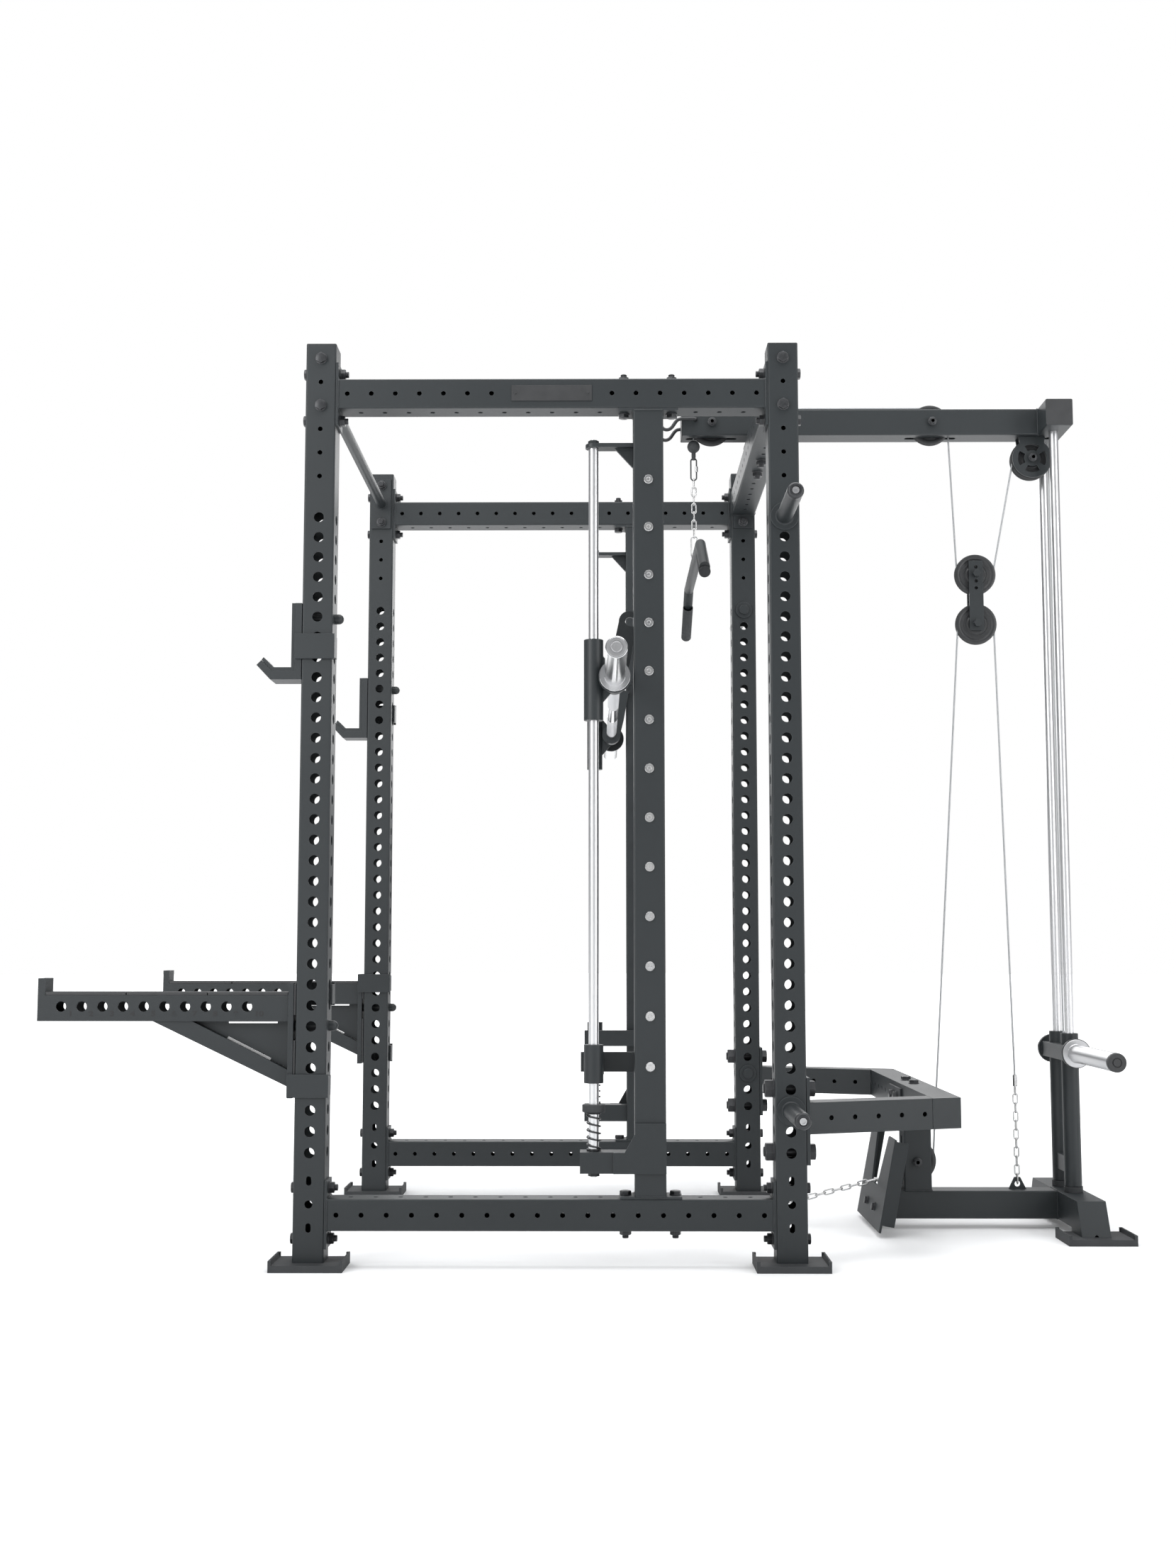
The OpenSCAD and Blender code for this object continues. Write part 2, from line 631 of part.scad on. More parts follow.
module link_cross_beam() color(powder) placed() difference() {
    translate([0, 0, link_z0]) linear_extrude(tube)
        polygon([[link_back - tube, -link_half - link_slope * tube], [link_back, -link_half],
            [link_back, link_half], [link_back - tube, link_half + link_slope * tube]]);
    translate([0, 0, link_z0 + wall]) linear_extrude(tube - 2 * wall)
        polygon([[link_back - tube + wall, -link_half], [link_back - wall, -link_half + wall],
            [link_back - wall, link_half - wall], [link_back - tube + wall, link_half]]);
    for (k = [-7 : 7])
        along_x(small_hole_d, [link_back - tube - 1, link_back + 1], k * small_pitch, link_z);
    for (s = [-1, 1]) {
        along_x(bolt_hole, [link_back - tube - 1, link_back + 1], s * small_pitch / 2, link_z);
        along_z(bolt_hole, link_mid, s * small_pitch, [link_z0 - 1, link_z1 + 1]);
    }
}

beam_z = [tower_z - tube / 2, tower_z + tube / 2];
module pulley_slot(x, z) {
    span([x - 64, x + 64], [-9, 9], z);
    for (s = [-1, 1]) along_z(18, x + s * 64, 0, z);
}
module tower_top_beam() color(powder) placed() {
    difference() {
        tube_x([tower_front, beam_back + 1], 0, tower_z);
        for (p = [front_p, mid_p]) {
            along_y(12.2, p[0], [-tube, tube], tower_z);
            pulley_slot(p[0], [beam_z[0] - 5, beam_z[1] + 5]);
        }
    }
    // head block across the end
    difference() {
        tube_y(foot_x, [-125, 125], tower_z);
        for (s = [-1, 1]) along_z(rod_d + 0.2, foot_x, s * rod_y, [beam_z[0] - 1, beam_z[0] + 8]);
        along_z(20, foot_x, 0, [beam_z[0] - 1, beam_z[0] + 8]);
    }
    // saddle under the beam, bolted down on the rear beam of the cage
    difference() {
        span([ux - 37, ux + 37], [-90, 90], [cross_z + tube / 2, cross_z + tube / 2 + saddle_t]);
        for (s = [-1, 1]) along_z(bolt_hole, ux, s * small_pitch, [cross_z, tower_z]);
    }
}

module tower_post() color(powder) placed() {
    difference() {
        translate([post_mid, 0, base_head]) square_tube(link_z0 - base_head - 6);
        along_y(12.2, low_p[0], [-tube, tube], low_p[1]);
        span([post_mid - tube, post_mid + tube], [-9, 9], [low_p[1] - 66, low_p[1] + 66]);
    }
    // angle bracket that the link frame lies in
    difference() {
        union() {
            span([link_back - tube - plate_t, post_mid + tube / 2], [-90, 90], [link_z0 - plate_t, link_z0]);
            span([link_back - tube - plate_t, link_back - tube], [-90, 90], [link_z0 - plate_t, link_z1 - 12]);
        }
        for (s = [-1, 1]) {
            along_z(bolt_hole, link_mid, s * small_pitch, [link_z0 - 7, link_z0 + 1]);
            along_x(bolt_hole, [link_back - tube - 10, link_back - tube + 5], s * small_pitch / 2, link_z);
        }
    }
}

module tower_base_beam() color(powder) placed() {
    difference() {
        tube_x([860, beam_back], 0, (base_foot + base_head) / 2);
        on_foot_plate() span([-60, foot_grip - 1], [-100, 100], [-60, 200]);
    }
    // leaning flange behind the foot plate
    on_foot_plate() difference() {
        span([foot_grip - plate_t, foot_grip], [-78, 78], [18, 92]);
        for (s = [-1, 1]) along_x(13, [0, 20], s * small_pitch, 50);
    }
    // lug that holds the anchor chain
    difference() {
        plate_y([-3, 3]) polygon([[anchor[0] - 24, base_head], [anchor[0] + 24, base_head],
            [anchor[0] + 8, base_head + 32], [anchor[0] - 8, base_head + 32]]);
        along_y(16, anchor[0], [-5, 5], anchor[1]);
    }
}

module tower_foot() color(powder) placed() difference() {
    translate([beam_back, 0, 0]) rotate([90, 0, 90]) linear_extrude(tube)
        polygon([[-268, foot_top], [268, foot_top], [226, base_head], [-226, base_head]]);
    translate([beam_back + wall, 0, 0]) rotate([90, 0, 90]) linear_extrude(tube - 2 * wall)
        polygon([[-263, foot_top + wall], [263, foot_top + wall], [224, base_head - wall],
            [-224, base_head - wall]]);
    span([beam_back - 1, beam_back + tube + 1], [-168, 168], [foot_top - 1, base_foot]);
    for (s = [-1, 1]) along_z(rod_d + 0.2, foot_x, s * rod_y, [base_head - 8, base_head + 1]);
    both_sides() along_y(11, foot_x, [-280, -240], foot_top);
}

module guide_rods() color(chrome) placed() for (s = [-1, 1])
    along_z(rod_d, foot_x, s * rod_y, [base_head - 22, beam_z[0] + 22]);

foot_plate_h = 245;
foot_plate_half = 187;
module on_foot_plate() translate([852, 0, 14]) rotate([0, 11, 0]) children();
module foot_plate() color(powder) placed() {
    on_foot_plate() {
        rotate([90, 0, 90]) linear_extrude(plate_t) difference() {
            polygon([[-foot_plate_half, 0], [foot_plate_half, 0], [foot_plate_half, foot_plate_h],
                [-foot_plate_half, foot_plate_h]]);
            polygon([[-45, 106], [45, 106], [91, foot_plate_h + 1], [-91, foot_plate_h + 1]]);
            for (s = [-1, 1]) translate([s * small_pitch, 50]) circle(d = 13);
        }
        for (s = [-1, 1]) mirror([0, s < 0 ? 1 : 0, 0])
            span([5, 38], [foot_plate_half - 6, foot_plate_half], [20, foot_plate_h - 4]);
    }
}

// ---------------------------------------------------------------- pulleys and cables

bracket_y = 15;
bracket_t = 5;
guard_y = 50;
// arc-shaped window in a round cover plate
module window(a) rotate(a) intersection() {
    difference() {
        circle(40.5);
        circle(23);
    }
    polygon([[0, 0], [60, -60 * tan(31)], [60, 60 * tan(31)]]);
}

module pulley_bracket() color(powder) placed() both_sides() translate([rear_p[0], 0, rear_p[1]]) {
    drop = beam_z[0] - rear_p[1];
    plate_y([-bracket_y - bracket_t, -bracket_y]) difference() {
        union() {
            circle(56);
            polygon([[-29, 0], [29, 0], [tube / 2, drop], [-tube / 2, drop]]);
        }
        circle(6.1);
        for (k = [0 : 3]) window(90 * k);
    }
}

module axle(p, half) {
    along_y(12, p[0], [-half - 7, half + 7], p[1]);
    along_y(19 / cos(30), p[0], [-half - 14, -half], p[1], $fn = 6);
    along_y(19 / cos(30), p[0], [half, half + 8], p[1], $fn = 6);
}

module pulley_axles() color(plastic) placed() {
    for (p = [front_p, mid_p, low_p]) axle(p, tube / 2);
    axle(rear_p, bracket_y + bracket_t);
}

pulley_w = 14;
module pulley(p) color(rubber) placed() translate([p[0], 0, p[1]]) rotate([90, 0, 0])
    rotate_extrude() polygon([[6 + run_gap, -pulley_w / 2], [24, -pulley_w / 2], [26, -4], [40, -4],
        [groove_r, -pulley_w / 2], [pulley_d / 2, -pulley_w / 2], [groove_r, -2.2], [groove_r, 2.2],
        [pulley_d / 2, pulley_w / 2], [groove_r, pulley_w / 2], [40, 4], [26, 4], [24, pulley_w / 2],
        [6 + run_gap, pulley_w / 2]]);
module pulley_front() pulley(front_p);
module pulley_mid() pulley(mid_p);
module pulley_rear() pulley(rear_p);
module pulley_low() pulley(low_p);
module block_pulley_upper() pulley(upper_p);
module block_pulley_lower() pulley(lower_p);

block_w = 40;
module pulley_block() color(powder) placed() {
    both_sides() difference() {
        span([upper_p[0] - block_w / 2, upper_p[0] + block_w / 2], [-16, -11], [lower_p[1] - 19, upper_p[1] + 38]);
        for (p = [upper_p, lower_p]) along_y(12.2, p[0], [-20, 0], p[1]);
        for (z = [20, -20, -40]) along_y(10, upper_p[0], [-20, 0], upper_p[1] + z);
    }
    for (p = [upper_p, lower_p]) axle(p, 16);
}

lat_leg_foot = ball_z + 18;
module lat_cable() color(zinc) placed() sweep(concat(
    [[lat_x, 0, lat_leg_foot]], arc(front_p, turn_r, 180, 90), arc(mid_p, turn_r, 90, 0),
    arc(upper_p, turn_r, 180, 360, 12), arc(rear_p, turn_r, 180, 0, 12),
    [[foot_x, 0, horn_z + 22]]), cable_d);

module row_cable() color(zinc) placed() sweep(concat(
    [[anchor[0], 0, anchor_head + ferrule - 4]], arc(lower_p, turn_r, 0, 180, 12),
    arc(low_p, turn_r, 0, -90), [[notch_p[0] + ferrule - 4, 0, notch_p[1]]]), cable_d);

// one stadium-shaped chain link along X, lying in the XY plane
module link(length = chain_pitch + 0.3, inner = 8) {
    r = (inner + chain_wire) / 2;
    half = (length + chain_wire) / 2 - r;
    for (s = [-1, 1]) {
        translate([-half - eps, s * r, 0]) rotate([0, 90, 0])
            cylinder(d = chain_wire, h = 2 * half + 2 * eps);
        translate([s * half, 0, 0]) rotate([0, 0, s * 90 - 180]) rotate_extrude(angle = 180)
            translate([r, 0]) circle(d = chain_wire);
    }
}

// chain from one point towards another in the XZ plane
module chain(from, to) {
    run = norm(to - from);
    count = floor(run / chain_pitch);
    slope = -atan2(to[1] - from[1], to[0] - from[0]);
    translate([from[0], 0, from[1]]) rotate([0, slope, 0])
        for (k = [0 : count - 1])
            translate([(k + 0.5) * chain_pitch, 0, 0]) rotate([k % 2 * 90, 0, 0]) link();
}

// snap hook: a long wire loop with a sleeve on one side
module snap_hook() {
    link(hook_len, 12);
    translate([-8, 8, 0]) rotate([0, 90, 0]) difference() {
        cylinder(d = 8, h = 16);
        translate([0, 0, -1]) cylinder(d = 4.2, h = 18);
    }
}

// crimped cable end along +Z from an eye whose hole runs along X
module cable_end(bore_from = 8) difference() {
    translate([0, 0, -5]) cylinder(d = 12, h = ferrule + 5);
    translate([-10, 0, 0]) rotate([0, 90, 0]) cylinder(d = 6, h = 20);
    translate([0, 0, bore_from]) cylinder(d = cable_d + 0.4, h = ferrule);
}

module anchor_chain() color(zinc) placed() {
    chain([anchor[0], anchor_foot], [anchor[0], anchor_head + 2]);
    translate([anchor[0], 0, anchor_head + 3]) cable_end();
}

module lat_chain() color(zinc) placed() {
    translate([lat_x, 0, ball_z]) difference() {
        sphere(d = 36);
        cylinder(d = cable_d + 0.4, h = 40);
    }
    // from the top: cable end, hook, chain and the hook that holds the bar
    wire_z = lat_z + ear_up;
    low_hook = wire_z + hook_reach;
    links_z = low_hook + hook_reach - chain_wire - 0.1 + 2.1;
    high_hook = links_z + lat_links * chain_pitch + hook_reach - 2;
    for (z = [low_hook, high_hook])
        translate([lat_x, 0, z]) rotate([0, 90, 0]) rotate([90, 0, 0]) snap_hook();
    chain([lat_x, links_z + lat_links * chain_pitch], [lat_x, links_z - 1]);
    translate([lat_x, 0, high_hook + hook_reach + 0.8]) cable_end(20);
}

lat_grip = 292;
ear_up = 28;
ear_r = 15;
module lat_bar() color(powder) placed() {
    along_y(28, lat_x, [-lat_grip, lat_grip], lat_z);
    both_sides() translate([lat_x, -lat_grip, lat_z]) {
        sphere(d = 28);
        rotate([120, 0, 0]) cylinder(d = 28, h = 201);
    }
    // ear that the chain's hook goes through
    translate([lat_x, 0, lat_z]) rotate([0, 0, 90]) difference() {
        plate_y([-2.5, 2.5]) {
            translate([0, ear_up]) circle(ear_r);
            translate([-ear_r, 8]) square([2 * ear_r, ear_up - 8]);
        }
        along_y(18, 0, [-6, 6], ear_up);
    }
}

module row_chain() color(zinc) placed() translate([notch_p[0], 0, notch_p[1]]) {
    rotate([0, 180 - row_fall, 0]) {
        for (k = [0 : row_links - 1])
            translate([(k + 0.5) * chain_pitch, 0, 0]) rotate([k % 2 * 90, 0, 0]) link();
        translate([row_links * chain_pitch + hook_reach - 2, 0, 0]) snap_hook();
    }
    translate([2, 0, 0]) rotate([0, 90, 0]) cable_end();
}

// bent rods beside the front of the tower's beam
module cable_guards() color(plastic) placed() both_sides() sweep([
    [tower_front + 38, -tube / 2 - 0.1, 2254], [tower_front + 38, -guard_y + 4, 2254],
    [tower_front + 34, -guard_y, 2254], [tower_front - 6, -guard_y, 2254], [337, -guard_y, 2249],
    [322, -guard_y, 2226], [311, -guard_y, 2221], [300, -guard_y, 2224], [294, -guard_y, 2232],
    [291, -guard_y, 2244]], 10, [0, 0.3, 1], 10);

// ---------------------------------------------------------------- moving weight

horn_foot = 124;                        // the horns' discs stand this far from the middle
disc_t = 5;
module weight_carriage() color(powder) placed() {
    difference() {
        union() {
            for (s = [-1, 1]) along_z(46, foot_x, s * rod_y, [base_head + 17, 528]);
            span([foot_x - 30, foot_x - 4], [-horn_foot + 7, horn_foot - 7], [horn_z - 20, horn_z + 20]);
            span([foot_x - 14, foot_x + 6], [-rod_y, rod_y], [152, 195]);
            span([foot_x - 6, foot_x + 6], [-6, 6], [horn_z - 20, horn_z + 20]);
        }
        for (s = [-1, 1]) along_z(rod_d + 2 * run_gap, foot_x, s * rod_y, [base_head, 540]);
    }
    both_sides() along_y(78, foot_x, [-horn_foot, -horn_foot + 8], horn_z);
}

// a full horn on the right and a short stub on the left
module weight_horns() color(chrome) placed() {
    both_sides() along_y(75, foot_x, [-horn_foot - disc_t, -horn_foot], horn_z);
    along_y(horn_d, foot_x, [-484, -horn_foot - disc_t + 1], horn_z);
    along_y(horn_d, foot_x, [horn_foot + disc_t - 1, 190], horn_z);
}

upright_front_right();
upright_front_left();
upright_rear_right();
upright_rear_left();
tube_caps();
rubber_feet();
top_beams();
bottom_beams();
pull_up_bar();
rear_cross_beam();
frame_bolts();
frame_nuts();
name_plate();
smith_posts();
smith_pegs();
smith_rails();
rail_brackets();
rail_bases();
plate_pegs();
link_beams();
link_cross_beam();
tower_top_beam();
tower_post();
tower_base_beam();
tower_foot();
guide_rods();
foot_plate();
pulley_bracket();
pulley_axles();
cable_guards();
anchor_chain();
bumper_springs();
bumper_collars();
smith_slides();
smith_bar();
smith_hooks();
bar_sleeve_right();
bar_sleeve_left();
safety_stop_right();
safety_stop_left();
j_cup_right();
j_cup_left();
spotter_arm_right();
spotter_arm_left();
arm_pad_right();
arm_pad_left();
weight_carriage();
weight_horns();
lat_chain();
lat_bar();
pulley_block();
row_chain();
pulley_front();
pulley_mid();
pulley_rear();
pulley_low();
block_pulley_upper();
block_pulley_lower();
lat_cable();
row_cable();
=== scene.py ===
import json
import math

import bmesh
import bpy
import numpy as np
from mathutils import Matrix, Vector


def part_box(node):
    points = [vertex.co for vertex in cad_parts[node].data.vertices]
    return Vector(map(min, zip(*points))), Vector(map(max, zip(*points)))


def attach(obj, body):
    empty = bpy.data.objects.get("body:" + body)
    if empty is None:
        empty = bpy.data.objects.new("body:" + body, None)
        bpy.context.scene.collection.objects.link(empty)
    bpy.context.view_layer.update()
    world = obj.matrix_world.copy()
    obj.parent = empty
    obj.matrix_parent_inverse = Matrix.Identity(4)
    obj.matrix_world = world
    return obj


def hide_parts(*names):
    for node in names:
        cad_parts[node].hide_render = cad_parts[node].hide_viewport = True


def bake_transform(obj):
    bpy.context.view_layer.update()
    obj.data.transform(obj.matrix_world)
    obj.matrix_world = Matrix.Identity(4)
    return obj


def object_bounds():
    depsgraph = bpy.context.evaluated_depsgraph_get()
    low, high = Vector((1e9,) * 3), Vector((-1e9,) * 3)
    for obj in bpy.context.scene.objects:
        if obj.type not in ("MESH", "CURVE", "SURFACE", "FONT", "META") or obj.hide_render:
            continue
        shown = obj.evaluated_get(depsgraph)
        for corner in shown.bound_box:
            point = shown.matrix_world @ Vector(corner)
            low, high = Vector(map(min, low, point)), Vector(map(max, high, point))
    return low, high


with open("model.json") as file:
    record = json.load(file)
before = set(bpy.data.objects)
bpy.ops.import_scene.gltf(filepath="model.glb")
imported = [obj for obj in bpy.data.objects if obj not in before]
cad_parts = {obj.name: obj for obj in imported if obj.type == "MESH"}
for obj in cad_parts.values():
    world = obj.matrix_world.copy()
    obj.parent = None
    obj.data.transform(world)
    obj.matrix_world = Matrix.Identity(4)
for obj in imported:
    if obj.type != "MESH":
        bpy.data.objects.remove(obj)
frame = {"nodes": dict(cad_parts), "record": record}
cad_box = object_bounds()
cad = frame["nodes"]
slot_of = {part["node"]: part["material_slot"] for part in frame["record"]["subparts"]}
body_of = {node: body for body, group in frame["record"]["behaviour"]["bodies"].items() for node in group}

MM = 0.001
X, Y, Z = Vector((1, 0, 0)), Vector((0, 1, 0)), Vector((0, 0, 1))
SIDES = {"right": -1, "left": 1}
SHARP = math.radians(32)


# ---------------------------------------------------------------- places taken from the frame

def middle(node):
    low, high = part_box(node)
    return (low + high) / 2


def groups(parts, beside):
    """Gathers parts into groups of those that are joined side by side."""
    left, found = set(parts), []
    while left:
        reached, front = [], [left.pop()]
        while front:
            part = front.pop()
            reached.append(part)
            for other in beside(part):
                if other in left:
                    left.remove(other)
                    front.append(other)
        found.append(reached)
    return found


def islands(node):
    """The corner points of each separate solid of a node, as one array each."""
    mesh = bmesh.new()
    mesh.from_mesh(cad[node].data)
    bmesh.ops.remove_doubles(mesh, verts=mesh.verts, dist=2e-6)
    solids = groups(mesh.verts, lambda vert: [edge.other_vert(vert) for edge in vert.link_edges])
    found = [np.array([vert.co for vert in solid]) for solid in solids]
    mesh.free()
    return sorted(found, key=lambda points: tuple(np.round(points.mean(0), 4)))


# ---------------------------------------------------------------- camera, floor and light

def stand_camera():
    data = bpy.data.cameras.new("camera")
    data.lens = 38.73
    data.sensor_width = 36
    camera = bpy.data.objects.new("camera", data)
    camera.location = (-0.0106, -4.7186, 0.7711)
    camera.rotation_euler = [math.radians(angle) for angle in (95.41, 0, 0.378)]
    bpy.context.collection.objects.link(camera)
    bpy.context.scene.camera = camera


def softbox(name, place, aim, size, power):
    data = bpy.data.lights.new(name, "AREA")
    data.shape = "RECTANGLE"
    data.size, data.size_y = size
    data.energy = power
    light = bpy.data.objects.new(name, data)
    light.location = place
    light.rotation_euler = (Vector(aim) - Vector(place)).to_track_quat("-Z", "Y").to_euler()
    bpy.context.collection.objects.link(light)


def light_studio():
    """A white room: pale light from all round, brighter overhead, and four softboxes."""
    world = bpy.data.worlds.new("studio")
    world.use_nodes = True
    bpy.context.scene.world = world
    net = Net(world.node_tree)
    net.tree.nodes.clear()
    x, y, height = net.parts(net.node("ShaderNodeTexCoord", out="Generated"))
    room = net.node("ShaderNodeValToRGB", {"stops": [
        (0.0, (0.42, 0.42, 0.43)), (0.49, (0.50, 0.50, 0.51)), (0.52, (0.30, 0.31, 0.32)),
        (0.70, (0.62, 0.63, 0.64)), (1.0, (0.95, 0.96, 0.98))]}, {0: height * 0.5 + 0.5})
    walls = (y.math("ARCTAN2", x) * 3 + 1.1).sine() * 0.5 + 0.5
    near_level = (1 - height.math("ABSOLUTE") * 1.4).held()
    shade = 1 - near_level * (1 - walls) * 0.75
    seen = net.node("ShaderNodeLightPath", out="Is Camera Ray")
    lit = net.node("ShaderNodeBackground", sockets={"Color": room, "Strength": shade * 0.9})
    shown = net.node("ShaderNodeBackground", sockets={"Color": (1, 1, 1, 1), "Strength": 1.0})
    both = net.node("ShaderNodeMixShader", sockets={0: seen, 1: lit, 2: shown})
    net.node("ShaderNodeOutputWorld", sockets={0: both})
    softbox("overhead", (0.2, -0.6, 4.6), (0.2, 0, 0.5), (4.5, 3.5), 150)
    softbox("front left", (-3.6, -4.2, 3.0), (0, 0, 1.1), (2.2, 3.2), 170)
    softbox("front right", (4.2, -3.4, 2.2), (0.2, 0, 1.0), (1.6, 3.0), 90)
    softbox("back", (0.5, 4.5, 2.8), (0, 0, 1.2), (4.0, 2.4), 90)
    bpy.context.scene.view_settings.view_transform = "Standard"


def lay_floor():
    mesh = bmesh.new()
    bmesh.ops.create_circle(mesh, cap_ends=True, segments=96, radius=40)
    data = bpy.data.meshes.new("floor")
    mesh.to_mesh(data)
    mesh.free()
    floor = bpy.data.objects.new("floor", data)
    floor.location.z = cad_box[0][2] - 0.2 * MM
    bpy.context.collection.objects.link(floor)
    pale = Finish("pale floor")
    away = pale.node("ShaderNodeVectorMath", {"operation": "LENGTH"}, {0: pale.place}, out="Value")
    # Painted light: the floor glows, faintly beside the object and more strongly farther out, so that it fades
    # into the white backdrop.
    glow = ((away - 1.9) / 3.4).held() ** 0.7
    pale.surface({"Base Color": (0.84, 0.845, 0.85, 1), "Roughness": 0.6, "Specular IOR Level": 0.2,
        "Emission Color": (1, 1, 1, 1), "Emission Strength": glow * 0.85 + 0.06})
    data.materials.append(pale.material)


# ---------------------------------------------------------------- node nets

class Wire:
    """An output in a node net. Arithmetic on it adds Math nodes to that net."""

    def __init__(self, net, socket):
        self.net = net
        self.socket = socket

    def math(self, operation, other=0.0, reflected=False):
        first, second = (other, self) if reflected else (self, other)
        return self.net.node("ShaderNodeMath", {"operation": operation}, {0: first, 1: second})

    def __add__(self, other):
        return self.math("ADD", other)

    def __sub__(self, other):
        return self.math("SUBTRACT", other)

    def __rsub__(self, other):
        return self.math("SUBTRACT", other, reflected=True)

    def __mul__(self, other):
        return self.math("MULTIPLY", other)

    def __truediv__(self, other):
        return self.math("DIVIDE", other)

    def __pow__(self, other):
        return self.math("POWER", other)

    def sine(self):
        return self.math("SINE")

    def held(self, low=0.0, high=1.0):
        return self.math("MAXIMUM", low).math("MINIMUM", high)

    __radd__ = __add__
    __rmul__ = __mul__


class Net:
    """A node tree under construction."""

    def __init__(self, tree):
        self.tree = tree

    def node(self, kind, settings=None, sockets=None, out=0):
        """Adds a node: its settings first, then a value or a wire for each of its sockets."""
        made = self.tree.nodes.new(kind)
        for name, value in (settings or {}).items():
            if name == "stops":
                set_stops(made.color_ramp, value)
            else:
                setattr(made, name, value)
        for name, value in (sockets or {}).items():
            if isinstance(value, Wire):
                self.tree.links.new(value.socket, made.inputs[name])
            else:
                made.inputs[name].default_value = value
        return Wire(self, made.outputs[out]) if made.outputs else None

    def parts(self, vector):
        """The X, Y and Z of a vector."""
        return [self.node("ShaderNodeSeparateXYZ", sockets={0: vector}, out=k) for k in range(3)]


def set_stops(ramp, stops):
    while len(ramp.elements) < len(stops):
        ramp.elements.new(1.0)
    for element, (place, colour) in zip(ramp.elements, stops):
        element.position = place
        element.color = (*colour, 1)


class Finish(Net):
    """A material under construction; its patterns lie on the object's own coordinates."""

    def __init__(self, name):
        self.material = bpy.data.materials.new(name)
        self.material.use_nodes = True
        super().__init__(self.material.node_tree)
        self.tree.nodes.clear()
        self.place = self.node("ShaderNodeTexCoord", out="Object")

    def stretched(self, scale, centre=(0, 0, 0)):
        """The coordinates about a centre, scaled along each axis."""
        shifted = self.node("ShaderNodeVectorMath", {"operation": "SUBTRACT"}, {0: self.place, 1: centre})
        return self.node("ShaderNodeVectorMath", {"operation": "MULTIPLY"}, {0: shifted, 1: scale})

    def noise(self, scale, detail=2.0, at=None):
        return self.node("ShaderNodeTexNoise", sockets={
            "Vector": at or self.place, "Scale": scale, "Detail": detail}, out=0)

    def mix(self, share, first, second):
        return self.node("ShaderNodeMix", {"data_type": "RGBA"}, {0: share, 6: first, 7: second}, out=2)

    def rounded(self, radius):
        """The normal with every sharp edge rounded off."""
        return self.node("ShaderNodeBevel", {"samples": 4}, {"Radius": radius})

    def edge(self, normal):
        """From 0 on flat faces to 1 on sharp edges: the mask of the painted edge highlights."""
        plain = self.node("ShaderNodeNewGeometry", out="Normal")
        same = self.node("ShaderNodeVectorMath", {"operation": "DOT_PRODUCT"}, {0: normal, 1: plain},
            out="Value")
        return ((1 - same) * 4).held()

    def bump(self, height, depth, normal=None):
        sockets = {"Height": height, "Distance": depth, "Strength": 1.0}
        if normal:
            sockets["Normal"] = normal
        return self.node("ShaderNodeBump", sockets=sockets)

    def surface(self, sockets):
        shader = self.node("ShaderNodeBsdfPrincipled", sockets=sockets)
        self.node("ShaderNodeOutputMaterial", sockets={0: shader})
        return self.material


# ---------------------------------------------------------------- finishes

def powder_coat():
    """Anthracite textured powder coat: fine orange peel, its colour lightened on the edges as a painted
    highlight.
    """
    finish = Finish("anthracite powder coat")
    normal = finish.rounded(1.4 * MM)
    drift = finish.noise(2.5, 3)
    speckle = finish.noise(700, 2)
    share = (drift * 0.6 + speckle * 0.7 - 0.15).held()
    tone = finish.mix(share, (0.009, 0.0115, 0.013, 1), (0.020, 0.0245, 0.027, 1))
    # Painted highlight: the colour lightens towards pale grey on sharp edges, where light catches the rims.
    colour = finish.mix(finish.edge(normal) * 0.45, tone, (0.08, 0.09, 0.10, 1))
    peel = finish.noise(420, 3) * 0.7 + finish.noise(1600, 1) * 0.3
    return finish.surface({"Base Color": colour, "Roughness": speckle * 0.18 + drift * 0.08 + 0.34,
        "Specular IOR Level": 0.42, "Normal": finish.bump(peel, 0.10 * MM, normal)})


def bright_bar(name, axis, shade=0.60, rough=0.16):
    """Ground and hard-chromed steel, with faint grinding lines round the bar."""
    finish = Finish(name)
    fine = [900.0 if part else 3.0 for part in axis]
    lines = finish.noise(1.0, 2, finish.stretched(fine))
    cloud = finish.noise(9, 2)
    colour = finish.mix(cloud, (shade, shade, shade * 1.01, 1), (shade * 0.92, shade * 0.93, shade * 0.95, 1))
    return finish.surface({"Base Color": colour, "Metallic": 1.0,
        "Roughness": lines * 0.08 + cloud * 0.05 + rough, "Normal": finish.bump(lines, 0.002 * MM)})


def knurled_bar():
    """Chromed bar shaft whose hand grips are cut with crossed grooves."""
    finish = Finish("knurled chrome")
    x, y, z = finish.parts(finish.stretched((1, 1, 1), tuple(middle("smith_bar"))))
    teeth, pitch = 52, 1.8 * MM
    around, along = z.math("ARCTAN2", x) * teeth, y * (2 * math.pi / pitch)
    crossed = (around + along).sine() * (around - along).sine()
    reach = y.math("ABSOLUTE")
    gripped = ((reach - 0.12) * 400).held() * ((0.46 - reach) * 400).held()
    cloud = finish.noise(12, 2)
    colour = finish.mix(cloud, (0.62, 0.62, 0.63, 1), (0.54, 0.55, 0.57, 1))
    return finish.surface({"Base Color": colour, "Metallic": 1.0,
        "Roughness": gripped * 0.2 + cloud * 0.05 + 0.13,
        "Normal": finish.bump(crossed * gripped, 0.25 * MM, finish.rounded(0.8 * MM))})


def zinc_plate():
    """Bright zinc on steel: slightly milky, with a fine spangle and a cool and a warm tint."""
    finish = Finish("bright zinc")
    cloud = finish.noise(45, 3)
    spangle = finish.node("ShaderNodeTexVoronoi", sockets={"Vector": finish.place, "Scale": 900.0})
    tint = finish.mix(cloud, (0.50, 0.51, 0.53, 1), (0.57, 0.56, 0.54, 1))
    return finish.surface({"Base Color": tint, "Metallic": 1.0,
        "Roughness": cloud * 0.16 + spangle * 0.08 + 0.16,
        "Normal": finish.bump(spangle, 0.03 * MM, finish.rounded(0.5 * MM))})


